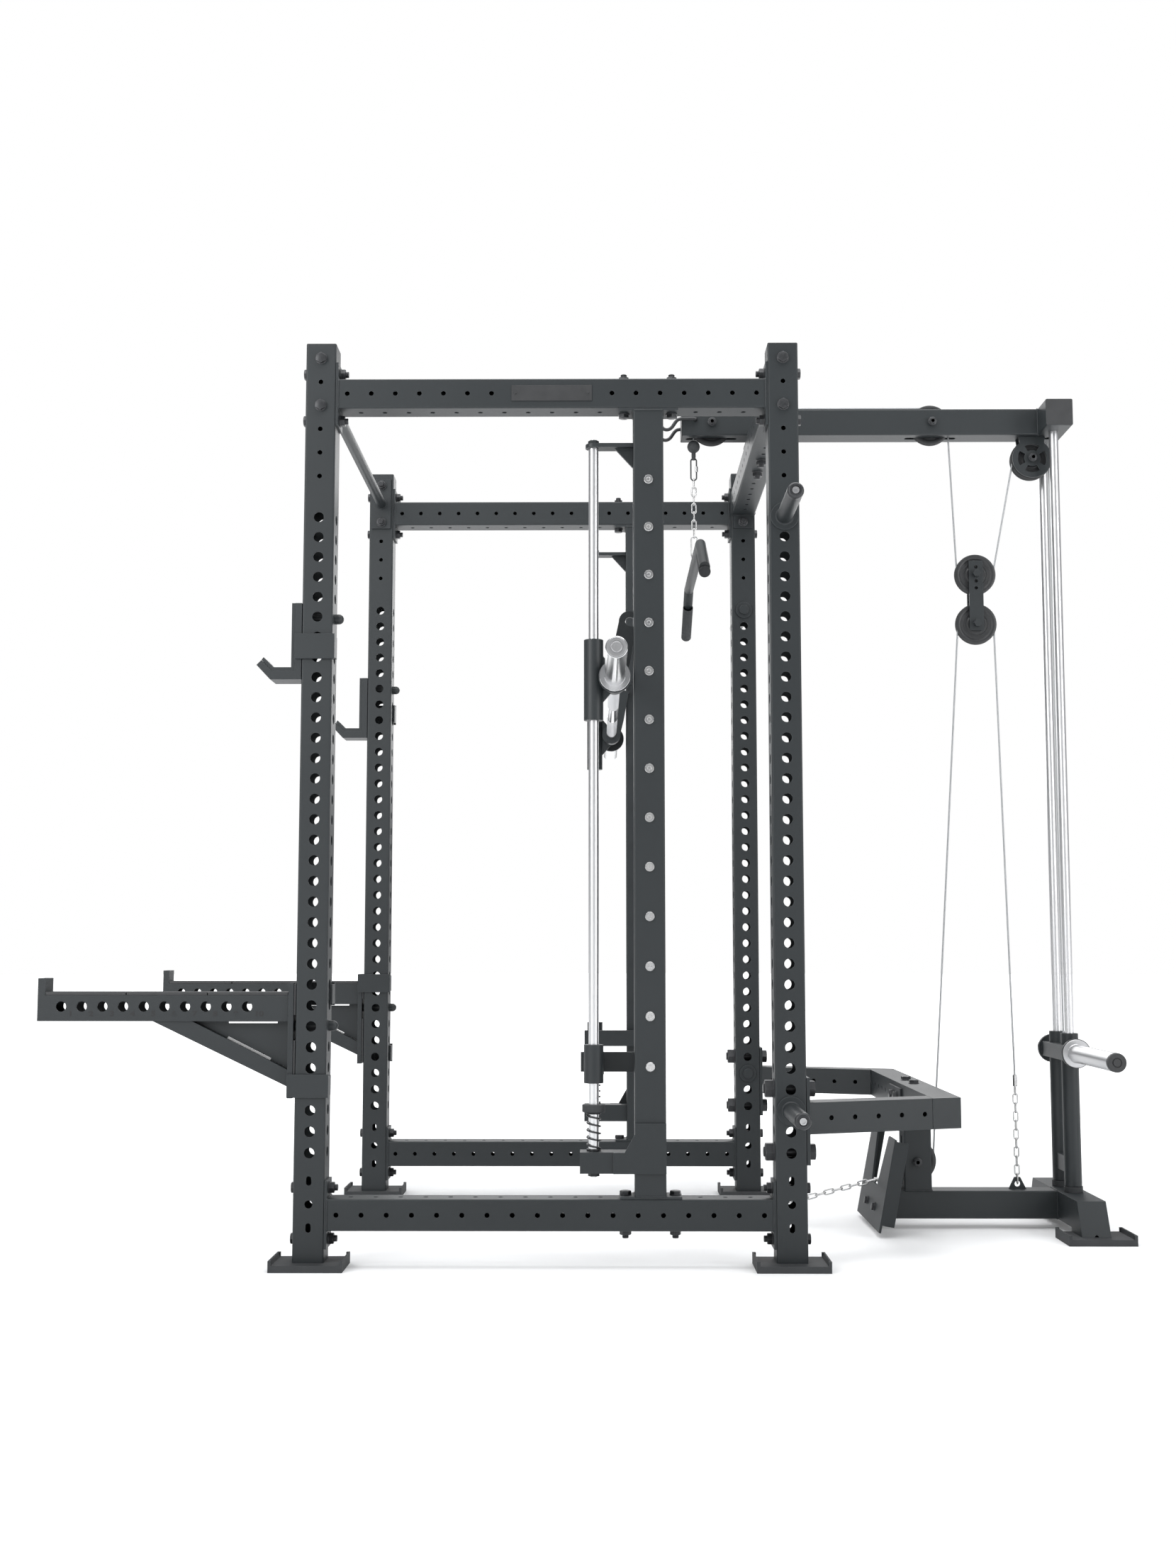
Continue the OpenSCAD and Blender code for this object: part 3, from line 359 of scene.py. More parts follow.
def black_oxide():
    """Fasteners in black oxide, their colour lightened on the corners as a painted highlight."""
    finish = Finish("black oxide")
    normal = finish.rounded(0.8 * MM)
    cloud = finish.noise(160, 3)
    base = finish.mix(cloud, (0.018, 0.019, 0.021, 1), (0.040, 0.042, 0.045, 1))
    # Painted highlight: the colour lightens towards grey on sharp corners.
    colour = finish.mix(finish.edge(normal) * 0.6, base, (0.16, 0.16, 0.17, 1))
    return finish.surface({"Base Color": colour, "Metallic": 0.35, "Roughness": cloud * 0.2 + 0.28,
        "Normal": finish.bump(finish.noise(900, 2), 0.03 * MM, normal)})


def moulded_plastic():
    """Black plastic from a spark-eroded mould."""
    finish = Finish("black moulded plastic")
    normal = finish.rounded(1.0 * MM)
    grain = finish.node("ShaderNodeTexVoronoi", {"feature": "SMOOTH_F1"},
        {"Vector": finish.place, "Scale": 1100.0})
    haze = finish.noise(30, 3)
    colour = finish.mix(haze, (0.014, 0.015, 0.016, 1), (0.028, 0.029, 0.031, 1))
    return finish.surface({"Base Color": colour, "Roughness": haze * 0.15 + 0.42,
        "Normal": finish.bump(grain, 0.07 * MM, normal)})


def moulded_rubber():
    """Dense black rubber, matt, with a little pale dust in the grain."""
    finish = Finish("black rubber")
    normal = finish.rounded(1.4 * MM)
    grain = finish.noise(650, 4)
    dust = finish.noise(18, 4)
    base = finish.mix(dust ** 2.0, (0.020, 0.022, 0.024, 1), (0.040, 0.043, 0.046, 1))
    return finish.surface({"Base Color": base, "Roughness": grain * 0.15 + 0.62,
        "Normal": finish.bump(grain, 0.12 * MM, normal)})


def turned_nylon(centre):
    """Black nylon turned on a lathe, with fine rings about the wheel's axle."""
    finish = Finish("turned black nylon")
    flat = finish.stretched((1, 0, 1), tuple(centre))
    reach = finish.node("ShaderNodeVectorMath", {"operation": "LENGTH"}, {0: flat}, out="Value")
    rings = (reach * (2 * math.pi / (0.8 * MM))).sine() * 0.5 + 0.5
    haze = finish.noise(40, 3)
    colour = finish.mix(haze, (0.013, 0.014, 0.015, 1), (0.024, 0.025, 0.027, 1))
    return finish.surface({"Base Color": colour, "Roughness": haze * 0.12 + rings * 0.05 + 0.32,
        "Normal": finish.bump(rings, 0.02 * MM, finish.rounded(0.8 * MM))})


def stranded_cable():
    """Twisted steel strands under a clear coat."""
    finish = Finish("coated steel cable")
    lay = finish.node("ShaderNodeTexWave", {"wave_type": "BANDS", "bands_direction": "DIAGONAL"},
        {"Vector": finish.place, "Scale": 150.0, "Distortion": 0.6})
    # The colour follows the bands of the bump: darker down between the strands and lighter on their crests, as
    # painted shade and painted highlight.
    colour = finish.mix(lay, (0.22, 0.23, 0.24, 1), (0.48, 0.49, 0.50, 1))
    return finish.surface({"Base Color": colour, "Metallic": 0.55, "Roughness": lay * 0.15 + 0.28,
        "Normal": finish.bump(lay, 0.2 * MM)})


def engraved_black():
    """Dark fill of the marks cut into the arms."""
    finish = Finish("engraved black")
    grain = finish.noise(1200, 2)
    colour = finish.mix(grain, (0.006, 0.006, 0.007, 1), (0.014, 0.014, 0.015, 1))
    return finish.surface({"Base Color": colour, "Roughness": grain * 0.2 + 0.55,
        "Normal": finish.bump(grain, 0.05 * MM)})


# ---------------------------------------------------------------- meshes

class Shape:
    """A mesh under construction, in metres, where it stands."""

    def __init__(self):
        self.mesh = bmesh.new()

    def face(self, corners, finish=0):
        corners = list(dict.fromkeys(corners))
        if len(corners) > 2:
            self.mesh.faces.new(corners).material_index = finish

    def skin(self, rings, finish=0, loop=False):
        """Joins each ring of points to the next; a ring of one point is a pole."""
        pairs = list(zip(rings, rings[1:]))
        if loop:
            pairs.append((rings[-1], rings[0]))
        for low, high in pairs:
            for k in range(max(len(low), len(high))):
                ahead = k + 1
                self.face((low[k % len(low)], low[ahead % len(low)],
                    high[ahead % len(high)], high[k % len(high)]), finish)

    def lathe(self, profile, origin, axis, finish=0, loop=False, steps=48):
        """Turns a profile of (radius, distance along the axis), in millimetres, about the axis."""
        axis = Vector(axis).normalized()
        side = axis.orthogonal().normalized()
        up = axis.cross(side)
        rings = []
        for radius, along in profile:
            count = 1 if radius == 0 else steps
            turns = [2 * math.pi * k / count for k in range(count)]
            rings.append([self.mesh.verts.new(Vector(origin) + axis * (along * MM)
                + (side * math.cos(a) + up * math.sin(a)) * (radius * MM)) for a in turns])
        self.skin(rings, finish, loop)

    def ring(self, reaches, heights):
        """A ring of points about Z, each at its own distance and height in millimetres."""
        turns = [2 * math.pi * k / len(reaches) for k in range(len(reaches))]
        return [self.mesh.verts.new(Vector((reach * math.cos(a), reach * math.sin(a), height)) * MM)
            for reach, height, a in zip(reaches, heights, turns)]

    def sweep(self, route, radius, sides=16, finish=0, up=Y):
        """A round rod along a route, with flat ends."""
        rings = []
        for k, point in enumerate(route):
            ahead = (route[min(k + 1, len(route) - 1)] - route[max(k - 1, 0)]).normalized()
            side = ahead.cross(up).normalized()
            over = side.cross(ahead)
            turns = [2 * math.pi * n / sides for n in range(sides)]
            rings.append([self.mesh.verts.new(point + (side * math.cos(a) + over * math.sin(a)) * radius)
                for a in turns])
        self.skin(rings, finish)
        self.face(rings[0], finish)
        self.face(rings[-1], finish)

    def copy(self, node):
        """Takes over a CAD node's shape, with its loose triangles joined into flat faces."""
        self.mesh.from_mesh(cad[node].data)
        bmesh.ops.remove_doubles(self.mesh, verts=self.mesh.verts, dist=2e-6)
        bmesh.ops.dissolve_limit(self.mesh, angle_limit=math.radians(0.3), verts=self.mesh.verts,
            edges=self.mesh.edges, use_dissolve_boundaries=False)
        for face in self.mesh.faces:
            face.material_index = 0

    def solids(self):
        """The faces of each separate solid."""
        return groups(self.mesh.faces,
            lambda face: [other for edge in face.edges for other in edge.link_faces])


def plain_mesh(name, mesh, outward=True):
    """Ends a mesh under construction: smooth, but for its sharp edges."""
    if outward:
        bmesh.ops.recalc_face_normals(mesh, faces=mesh.faces)
    for face in mesh.faces:
        face.smooth = True
    for edge in mesh.edges:
        edge.smooth = len(edge.link_faces) == 2 and edge.calc_face_angle() < SHARP
    data = bpy.data.meshes.new(name)
    mesh.to_mesh(data)
    mesh.free()
    return data


def piece(name, shape, body, finishes, replaces=(), soften=0.0, outward=True):
    """Makes a finished piece of a shape; soften is the width to which its sharp edges are rounded."""
    made = bpy.data.objects.new(name, plain_mesh(name, shape.mesh, outward))
    bpy.context.collection.objects.link(made)
    for finish in finishes:
        made.data.materials.append(finish)
    if soften:
        rim = made.modifiers.new("rim", "BEVEL")
        rim.width = soften
        rim.segments = 2
        rim.limit_method = "ANGLE"
        rim.angle_limit = SHARP
        made.modifiers.new("even light", "WEIGHTED_NORMAL").keep_sharp = True
    return fit(made, body, replaces)


def fit(made, body, replaces=()):
    """Attaches the piece to the body that it moves with, and hides the nodes that it stands for."""
    if body:
        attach(made, body)
    if replaces:
        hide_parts(*replaces)
    return made


def bake(made):
    """Turns what the piece's modifiers make into its plain mesh."""
    graph = bpy.context.evaluated_depsgraph_get()
    data = bpy.data.meshes.new_from_object(made.evaluated_get(graph), depsgraph=graph)
    made.modifiers.clear()
    made.data = data


# ---------------------------------------------------------------- geometry nets

class Growth(Net):
    """A Geometry Nodes tree with named inputs beside its geometry."""

    def __init__(self, name, inputs):
        super().__init__(bpy.data.node_groups.new(name, "GeometryNodeTree"))
        face = self.tree.interface
        face.new_socket("Geometry", in_out="INPUT", socket_type="NodeSocketGeometry")
        for title, kind in inputs.items():
            face.new_socket(title, in_out="INPUT", socket_type="NodeSocket" + kind)
        face.new_socket("Geometry", in_out="OUTPUT", socket_type="NodeSocketGeometry")
        self.source = self.tree.nodes.new("NodeGroupInput")

    def given(self, title):
        return Wire(self, self.source.outputs[title])

    def finish(self, shape):
        """Ends the tree in real, finished geometry."""
        real = self.node("GeometryNodeRealizeInstances", sockets={0: shape})
        coated = self.node("GeometryNodeSetMaterial", sockets={
            "Geometry": real, "Material": self.given("Finish")})
        self.node("NodeGroupOutput", sockets={0: coated})
        return self

    def grow(self, name, seed, values, body, slot, replaces=()):
        """Runs the tree on a seed mesh and keeps the result as a plain piece."""
        made = bpy.data.objects.new(name, seed)
        bpy.context.collection.objects.link(made)
        modifier = made.modifiers.new("growth", "NODES")
        modifier.node_group = self.tree
        for socket in self.tree.interface.items_tree:
            if socket.in_out == "INPUT" and socket.name in values:
                modifier[socket.identifier] = values[socket.name]
        bake(made)
        return fit(made, body, replaces)


def scatter_net():
    """Stands a copy of a template on each seed point, with its Z along the point's own direction."""
    net = Growth("scatter", {"Template": "Object", "Finish": "Material"})
    pointing = net.node("GeometryNodeInputNamedAttribute", {"data_type": "FLOAT_VECTOR"},
        {"Name": "pointing"})
    turn = net.node("FunctionNodeAlignRotationToVector", {"axis": "Z"}, {"Vector": pointing})
    template = net.node("GeometryNodeObjectInfo", sockets={"Object": net.given("Template")}, out="Geometry")
    stood = net.node("GeometryNodeInstanceOnPoints", sockets={
        "Points": net.given("Geometry"), "Instance": template, "Rotation": turn})
    return net.finish(stood)


def bead_net():
    """Lays a rippled weld bead along the seed's edges."""
    net = Growth("weld bead", {"Bead": "Float", "Ripple": "Float", "Finish": "Material"})
    ripple = net.given("Ripple")
    line = net.node("GeometryNodeMeshToCurve", sockets={"Mesh": net.given("Geometry")})
    fine = net.node("GeometryNodeResampleCurve", {"mode": "LENGTH"}, {"Curve": line, "Length": ripple / 4.0})
    along = net.node("GeometryNodeSplineParameter", out="Length")
    wave = (along / ripple * (2 * math.pi)).sine() * 0.14 + 1.0
    section = net.node("GeometryNodeCurvePrimitiveCircle", sockets={
        "Resolution": 8, "Radius": net.given("Bead")})
    bead = net.node("GeometryNodeCurveToMesh", sockets={
        "Curve": fine, "Profile Curve": section, "Scale": wave})
    smooth = net.node("GeometryNodeSetShadeSmooth", sockets={"Geometry": bead, "Shade Smooth": True})
    return net.finish(smooth)


def coil_net():
    """A round-wire compression spring along Z with closed ends, standing on each seed point."""
    net = Growth("coil", {
        "Turns": "Float", "Radius": "Float", "Height": "Float", "Wire": "Float", "Finish": "Material"})
    turns, radius = net.given("Turns"), net.given("Radius")
    spiral = net.node("GeometryNodeCurveSpiral", sockets={"Resolution": 40, "Rotations": turns,
        "Start Radius": radius, "End Radius": radius, "Height": 0.0})
    share = net.node("GeometryNodeSplineParameter", out="Factor")
    closed = 0.8
    risen = ((share * turns - closed) / (turns - 2 * closed)).held() * net.given("Height")
    lift = net.node("ShaderNodeCombineXYZ", sockets={"Z": risen})
    coil = net.node("GeometryNodeSetPosition", sockets={"Geometry": spiral, "Offset": lift})
    section = net.node("GeometryNodeCurvePrimitiveCircle", sockets={
        "Resolution": 12, "Radius": net.given("Wire")})
    wire = net.node("GeometryNodeCurveToMesh", sockets={
        "Curve": coil, "Profile Curve": section, "Fill Caps": True})
    smooth = net.node("GeometryNodeSetShadeSmooth", sockets={"Geometry": wire, "Shade Smooth": True})
    stood = net.node("GeometryNodeInstanceOnPoints", sockets={
        "Points": net.given("Geometry"), "Instance": smooth})
    return net.finish(stood)


def seeds(points, pointing=None):
    """A mesh of loose points, each with the direction that its copy stands in."""
    data = bpy.data.meshes.new("seeds")
    data.from_pydata([tuple(point) for point in points], [], [])
    if pointing:
        kept = data.attributes.new("pointing", "FLOAT_VECTOR", "POINT")
        kept.data.foreach_set("vector", np.array([tuple(way) for way in pointing], np.float32).ravel())
    return data


def template(shape):
    """An object that isn't in the scene, for a net to copy."""
    return bpy.data.objects.new("template", plain_mesh("template", shape.mesh))


def edge_lines(loops):
    """A mesh of the edges of closed loops of points."""
    points, edges = [], []
    for loop in loops:
        first = len(points)
        points += [tuple(point) for point in loop]
        edges += [(first + k, first + (k + 1) % len(loop)) for k in range(len(loop))]
    data = bpy.data.meshes.new("lines")
    data.from_pydata(points, edges, [])
    return data


# ---------------------------------------------------------------- fasteners

class Bolt:
    """A bolt of the CAD: where its head sits, which way it points, and its measures in millimetres."""

    def __init__(self, points):
        centre = points.mean(0)
        spread = np.linalg.eigh(np.cov((points - centre).T))
        axis = spread[1][:, -1]
        along = (points - centre) @ axis
        reach = np.linalg.norm(points - centre - np.outer(along, axis), axis=1)
        head = reach > 0.9 * reach.max()
        if along[head].mean() > 0:
            axis, along = -axis, -along
        self.axis = Vector(axis)
        self.seat = Vector(centre) + self.axis * float(along[head].max())
        self.corner = float(reach.max()) / MM
        self.head = float(np.ptp(along[head])) / MM
        self.length = float(along.max() - along[head].max()) / MM
        self.shank = float(reach[along > along.max() - 0.2 * MM].max()) / MM


def hexagon(shape, corner, low, high, sides=36):
    """A hexagon's sides and its chamfered top, between two heights in millimetres; its foot stays open."""
    flat = corner * math.cos(math.pi / 6)
    inner = flat * 0.97
    chamfer = 0.5 if high > low else -0.5
    turns = [2 * math.pi * k / sides for k in range(sides)]
    reach = [flat / math.cos((a + math.pi / 6) % (math.pi / 3) - math.pi / 6) for a in turns]
    rings = [shape.ring(reach, [low] * sides),
        shape.ring(reach, [high - max(0, r - inner) * chamfer for r in reach]),
        shape.ring([inner] * sides, [high] * sides)]
    shape.skin(rings)
    return rings[-1]


def bolt_template(bolt):
    """Flanged hexagon bolt with a rolled thread at its end."""
    shape = Shape()
    shape.face(hexagon(shape, bolt.corner, -2, -bolt.head))
    flange, shank = bolt.corner * 1.06, bolt.shank
    threaded, pitch, depth = 24, 1.9, 0.9
    profile = [(0, -1.9), (flange * 0.9, -2), (flange, -1.2), (flange, 0), (shank, 0),
        (shank, bolt.length - threaded)]
    for k in range(12):
        foot = bolt.length - threaded + k * pitch
        profile += [(shank - depth, foot + depth), (shank, foot + 2 * depth)]
    profile += [(shank - 1.5, bolt.length), (0, bolt.length)]
    shape.lathe(profile, (0, 0, 0), Z, steps=24)
    return template(shape)


def nut_template(corner, height, bore):
    """Flanged hexagon nut, its measures in millimetres."""
    shape = Shape()
    top = hexagon(shape, corner, 2, height)
    inner, foot = [shape.ring([bore] * len(top), [z] * len(top)) for z in (height, 0)]
    shape.skin([top, inner, foot])
    flange = corner * 1.08
    shape.lathe([(bore, 0), (flange, 0), (flange, 1.2), (flange * 0.9, 2.1), (bore, 2.1)],
        (0, 0, 0), Z, steps=24, loop=True)
    return template(shape)


def fasteners(scatter, oxide):
    """The frame's bolts and nuts, one piece for each size."""
    bolts = [Bolt(points) for points in islands("frame_bolts")]
    kinds = sorted({round(bolt.corner) for bolt in bolts})
    for kind in kinds:
        group = [bolt for bolt in bolts if round(bolt.corner) == kind]
        scatter.grow(f"frame_bolts_{kind}", seeds([b.seat for b in group], [b.axis for b in group]),
            {"Template": bolt_template(group[0]), "Finish": oxide}, "frame", "black_steel", ["frame_bolts"])
    nuts = {}
    for points in islands("frame_nuts"):
        centre = Vector(points.mean(0))

        def off_axis(bolt):
            away = centre - bolt.seat
            return away.cross(bolt.axis).length + away.length * 0.01

        axis = min(bolts, key=off_axis).axis
        along = (points - np.array(centre)) @ np.array(axis)
        reach = np.linalg.norm(points - np.array(centre) - np.outer(along, axis), axis=1)
        corner, height, bore = [float(value) / MM for value in (reach.max(), np.ptp(along), reach.min())]
        nuts.setdefault((round(corner), round(height), round(bore, 1)), []).append(
            (centre + axis * float(along.min()), axis))
    for size, group in nuts.items():
        points, ways = zip(*group)
        scatter.grow(f"frame_nuts_{size[0]}_{size[1]}", seeds(points, ways),
            {"Template": nut_template(*size), "Finish": oxide}, "frame", "black_steel", ["frame_nuts"])


def catch_pegs(scatter, zinc):
    """The zinc pegs through the posts: a dimpled head outside and a chamfered end inside."""
    shape = Shape()
    low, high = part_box("smith_pegs")
    length, head, rod, rim = 104, 4, 10, 11.5
    shape.lathe([(0, 1), (4, 1), (5, 0), (rim - 1.2, 0), (rim, 1.2), (rim, head), (rod, head),
        (rod, length - 1.5), (rod - 1.5, length), (0, length)], (0, 0, 0), Z, steps=32)
    points, ways = [], []
    for solid in islands("smith_pegs"):
        side = 1 if solid[:, 1].mean() > 0 else -1
        centre = (solid.min(0) + solid.max(0)) / 2
        points.append((centre[0], (high.y if side > 0 else low.y), centre[2]))
        ways.append(-side * Y)
    scatter.grow("catch_pegs", seeds(points, ways), {"Template": template(shape), "Finish": zinc},
        "frame", "zinc", ["smith_pegs"])


# ---------------------------------------------------------------- welds

def rounded_loop(centre, along, across, half_along, half_across, corner=5 * MM, steps=4):
    """A rectangle of points with round corners, about a centre."""
    points = []
    for sign_u, sign_v, start in ((1, 1, 0), (-1, 1, 90), (-1, -1, 180), (1, -1, 270)):
        for k in range(steps + 1):
            turn = math.radians(start + 90 * k / steps)
            points.append(centre + along * (sign_u * (half_along - corner) + corner * math.cos(turn))
                + across * (sign_v * (half_across - corner) + corner * math.sin(turn)))
    return points


def frame_welds():
    """Where tubes are welded to their end plates, and to each other."""
    half, plate = 37.5 * MM, 6 * MM
    loops = []

    def square(centre, along, across):
        loops.append(rounded_loop(Vector(centre), along, across, half, half))

    for node in ("top_beams", "bottom_beams"):
        low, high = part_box(node)
        for end in (low.x + plate, high.x - plate):
            for side in (low.y + half, high.y - half):
                square((end, side, middle(node).z), Y, Z)
    low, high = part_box("rear_cross_beam")
    bar, beam = middle("pull_up_bar"), middle("rear_cross_beam")
    ends = (low.y + plate, high.y - plate)
    for end in ends:
        square((beam.x, end, beam.z), X, Z)
    for end in ends:
        loops.append(rounded_loop(Vector((bar.x, end, bar.z)), X, Z, 15 * MM, 15 * MM, 14.9 * MM, 6))
    low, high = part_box("smith_posts")
    peg_x = islands("smith_pegs")[0][:, 0].mean()
    for side in (low.y + half, high.y - half):
        for end in (low.z + plate, high.z - plate):
            square((peg_x, side, end), X, Y)
    square((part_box("tower_top_beam")[1].x - 2 * half, 0, middle("tower_top_beam").z + 3 * MM), Y, Z)
    square((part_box("tower_post")[1].x - half, 0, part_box("tower_post")[0].z), X, Y)
    square((middle("guide_rods").x - half, 0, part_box("tower_foot")[1].z - half), Y, Z)
    return loops


def weld_frame(bead, coat):
    bead.grow("frame_welds", edge_lines(frame_welds()),
        {"Bead": 2.2 * MM, "Ripple": 3.2 * MM, "Finish": coat}, "frame", "powder_coat")


def weld_arms(bead, coat):
    """Beads where each spotter arm and its brace meet their back plate."""
    for side in SIDES:
        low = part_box(f"spotter_arm_{side}")[0]
        back, centre = back_plate_face(side), middle(f"arm_pad_{side}").y
        arm = Vector((back, centre, low.z + 214 * MM))
        brace = Vector((back, centre, low.z + 46 * MM))
        loops = [rounded_loop(arm, Y, Z, 30 * MM, 31 * MM, 2 * MM),
            rounded_loop(brace, Y, Z, 25 * MM, 20 * MM, 2 * MM)]
        bead.grow(f"arm_welds_{side}", edge_lines(loops),
            {"Bead": 2.0 * MM, "Ripple": 3.0 * MM, "Finish": coat}, f"spotter_arm_{side}", "powder_coat")


def back_plate_face(side):
    """Front face of the back plate of a spotter arm, behind its strip of pads."""
    gap, strap = 5.3 * MM, 12.7 * MM
    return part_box(f"arm_pad_{side}")[1].x - gap - strap


# ---------------------------------------------------------------- turned pieces

def mirrored(profile):
    """A profile and its likeness at the other side of the middle."""
    return profile + [(radius, -along) for radius, along in reversed(profile)]


def pulleys(nylon_of, steel):
    """Nylon wheels with a cable groove, a recessed web and a pressed-in bearing."""
    for node in [name for name in cad if slot_of[name] == "pulley_nylon"]:
        low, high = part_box(node)
        centre = (low + high) / 2
        half, rim = (high.y - low.y) / 2 / MM, (high.z - low.z) / 2 / MM
        bore, groove_depth, groove_centre = 15, 2.6, 50.1
        groove = [(groove_centre - groove_depth * math.cos(math.radians(a)),
            groove_depth * math.sin(math.radians(a))) for a in range(-60, 0, 20)]
        face = [(bore, -half), (24, -half), (25, 1 - half), (27, -4.5), (31.5, -4.2), (32, -5.2), (35, -5.2),
            (35.5, -4.2), (42.5, -4.2), (46, 0.6 - half), (47.5, -half), (rim - 1.2, -half),
            (rim, 0.7 - half), (rim - 0.6, 1.6 - half)] + groove
        wheel = face + [(groove_centre - groove_depth, 0)] + mirrored(face)[len(face):]
        race = [(6.1, 1 - half), (9, 1 - half), (9.2, 2 - half), (12.6, 2 - half), (12.8, 0.8 - half),
            (15.2, 0.8 - half)]
        shape = Shape()
        shape.lathe(wheel, centre, Y, 0, loop=True, steps=72)
        shape.lathe(mirrored(race), centre, Y, 1, loop=True)
        piece(node + "_wheel", shape, body_of[node], [nylon_of(centre), steel], [node])


def axle_bolts(oxide):
    """The axle of each pulley that turns on the frame: hexagon head, shank and lock nut."""
    shape = Shape()
    for solid in islands("pulley_axles"):
        x, _, z = (solid.min(0) + solid.max(0)) / 2
        foot, top = solid[:, 1].min() / MM, solid[:, 1].max() / MM
        shape.lathe([(0, foot), (5, foot), (6, foot + 1), (6, top - 1), (5, top), (0, top)],
            (x, 0, z), Y, steps=24)
        for start, way, thick in ((foot + 7, -Y, 7), (top - 7, Y, 8)):
            hexed = Shape()
            hexed.face(hexagon(hexed, 10.97, 1.6, thick))
            hexed.lathe([(0, 0), (12.2, 0), (12.2, 1), (11, 1.7), (0, 1.7)], (0, 0, 0), Z, steps=24)
            turn = way.to_track_quat("Z", "X").to_matrix().to_4x4()
            hexed.mesh.transform(Matrix.Translation((x, start * MM, z)) @ turn)
            data = bpy.data.meshes.new("head")
            hexed.mesh.to_mesh(data)
            hexed.mesh.free()
            shape.mesh.from_mesh(data)
    piece("axle_bolts", shape, "frame", [oxide], ["pulley_axles"])


def loading_sleeves(chrome):
    """Chromed sleeves of the guided bar with their inner collars."""
    collar, sleeve, bore = 38, 25, 15.1
    for side, sign in SIDES.items():
        node = f"bar_sleeve_{side}"
        low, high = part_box(node)
        origin = (middle(node).x, (high.y if sign < 0 else low.y), middle(node).z)
        long = (high.y - low.y) / MM
        shape = Shape()
        shape.lathe([(bore, 0), (collar - 0.8, 0), (collar, 0.8), (collar, 13.2), (collar - 0.8, 14),
            (sleeve + 0.6, 14), (sleeve, 14.6), (sleeve, long - 1.5), (sleeve - 1.5, long), (bore, long)],
            origin, sign * Y, loop=True, steps=72)
        piece(f"{node}_turned", shape, body_of[node], [chrome], [node])


def sleeve_end():
    """How far out the loading sleeves reach."""
    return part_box("bar_sleeve_left")[1].y


def bar_ends():
    """Washers, circlips and bolts that hold the sleeves on the bar's ends."""
    centre = middle("smith_bar")
    reach = (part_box("smith_bar")[1].y - sleeve_end()) / MM - 0.5
    shape = Shape()
    for sign in SIDES.values():
        washer = (centre.x, sign * (sleeve_end() + 0.5 * MM), centre.z)
        shape.lathe([(0, 0), (22, 0), (22, 1), (21.4, 1.5), (15.2, 1.5), (14.6, 0.7), (13.4, 0.7),
            (12.8, 1.6), (11.6, reach - 0.8), (10.8, reach), (5.2, reach), (5, reach - 0.4), (0, reach - 0.4)],
            washer, sign * Y)
        rod = (centre.x, sign * (sleeve_end() - 3 * MM), centre.z)
        shape.lathe([(0, 0), (15, 0), (15, 3.6), (0, 3.6)], rod, sign * Y)
    return shape


def guided_bar(knurled, satin):
    """The bar between its sleeves, and its two ends."""
    half = sleeve_end() / MM - 2
    shaft = Shape()
    shaft.lathe([(0, -half), (15, -half), (15, half), (0, half)], middle("smith_bar"), Y, steps=64)
    piece("bar_shaft", shaft, "smith_bar", [knurled], ["smith_bar"])
    piece("bar_ends", bar_ends(), "smith_bar", [satin], ["smith_bar"])


def weight_horns(chrome, plastic, rubber):
    """Chromed horn with a plugged end and a boss, its short stub, and a disc in a black ring at each foot."""
    shape = Shape()
    low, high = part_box("weight_horns")
    centre = (low + high) / 2
    horn, disc = 24, 37.5
    foot = min(abs(points[:, 1]).min() for points in islands("weight_horns"))
    for sign, end in ((-1, -low.y), (1, high.y)):
        long = (end - foot) / MM
        origin, way = (centre.x, sign * foot, centre.z), sign * Y
        shape.lathe([(0, 0), (disc - 0.8, 0), (disc, 0.8), (disc, 4.2), (disc - 0.8, 5), (horn + 1.5, 5),
            (horn, 6.5), (horn, long - 12), (0, long - 12)], origin, way, 0, steps=72)
        shape.lathe([(0, long - 12.5), (horn + 0.1, long - 12.5), (horn + 0.1, long - 3),
            (horn - 2.2, long - 1.2), (12, long - 1.2), (11.5, long - 3), (10, long - 3), (9.5, long - 0.6), (8.8, long), (0, long)],
            origin, way, 1, steps=72)
        shape.lathe([(30, -0.2), (39.4, -0.2), (39.4, 2.2), (38.4, 3), (37.8, 3), (37.6, 0.5), (30, 0.5)],
            origin, way, 2, loop=True, steps=72)
    piece("weight_horn_sleeves", shape, "weight_carriage", [chrome, plastic, rubber],
        ["weight_horns"])


def ground_rods(chrome):
    """Guide rails and rods: ground shafts with chamfered ends and the smaller studs of the rails."""
    chamfer = 1.2
    for node in ("smith_rails", "guide_rods"):
        shape = Shape()
        for solid in islands(node):
            points = solid / MM
            low, high = points.min(0), points.max(0)
            centre = (low + high) / 2
            reach = np.linalg.norm((points - centre)[:, :2], axis=1)
            radius, stud = reach.max(), reach.min()
            thick = points[reach > 0.95 * radius][:, 2]
            foot, top = thick.min(), thick.max()
            profile = [(0, low[2]), (stud, low[2]), (stud, foot)] if low[2] < foot - 1 else [(0, foot)]
            profile += [(radius - chamfer, foot), (radius, foot + chamfer), (radius, top - chamfer),
                (radius - chamfer, top)]
            profile += [(stud, top), (stud, high[2]), (0, high[2])] if high[2] > top + 1 else [(0, top)]
            shape.lathe(profile, (centre[0] * MM, centre[1] * MM, 0), Z, steps=64)
        piece(node + "_ground", shape, "frame", [chrome], [node])


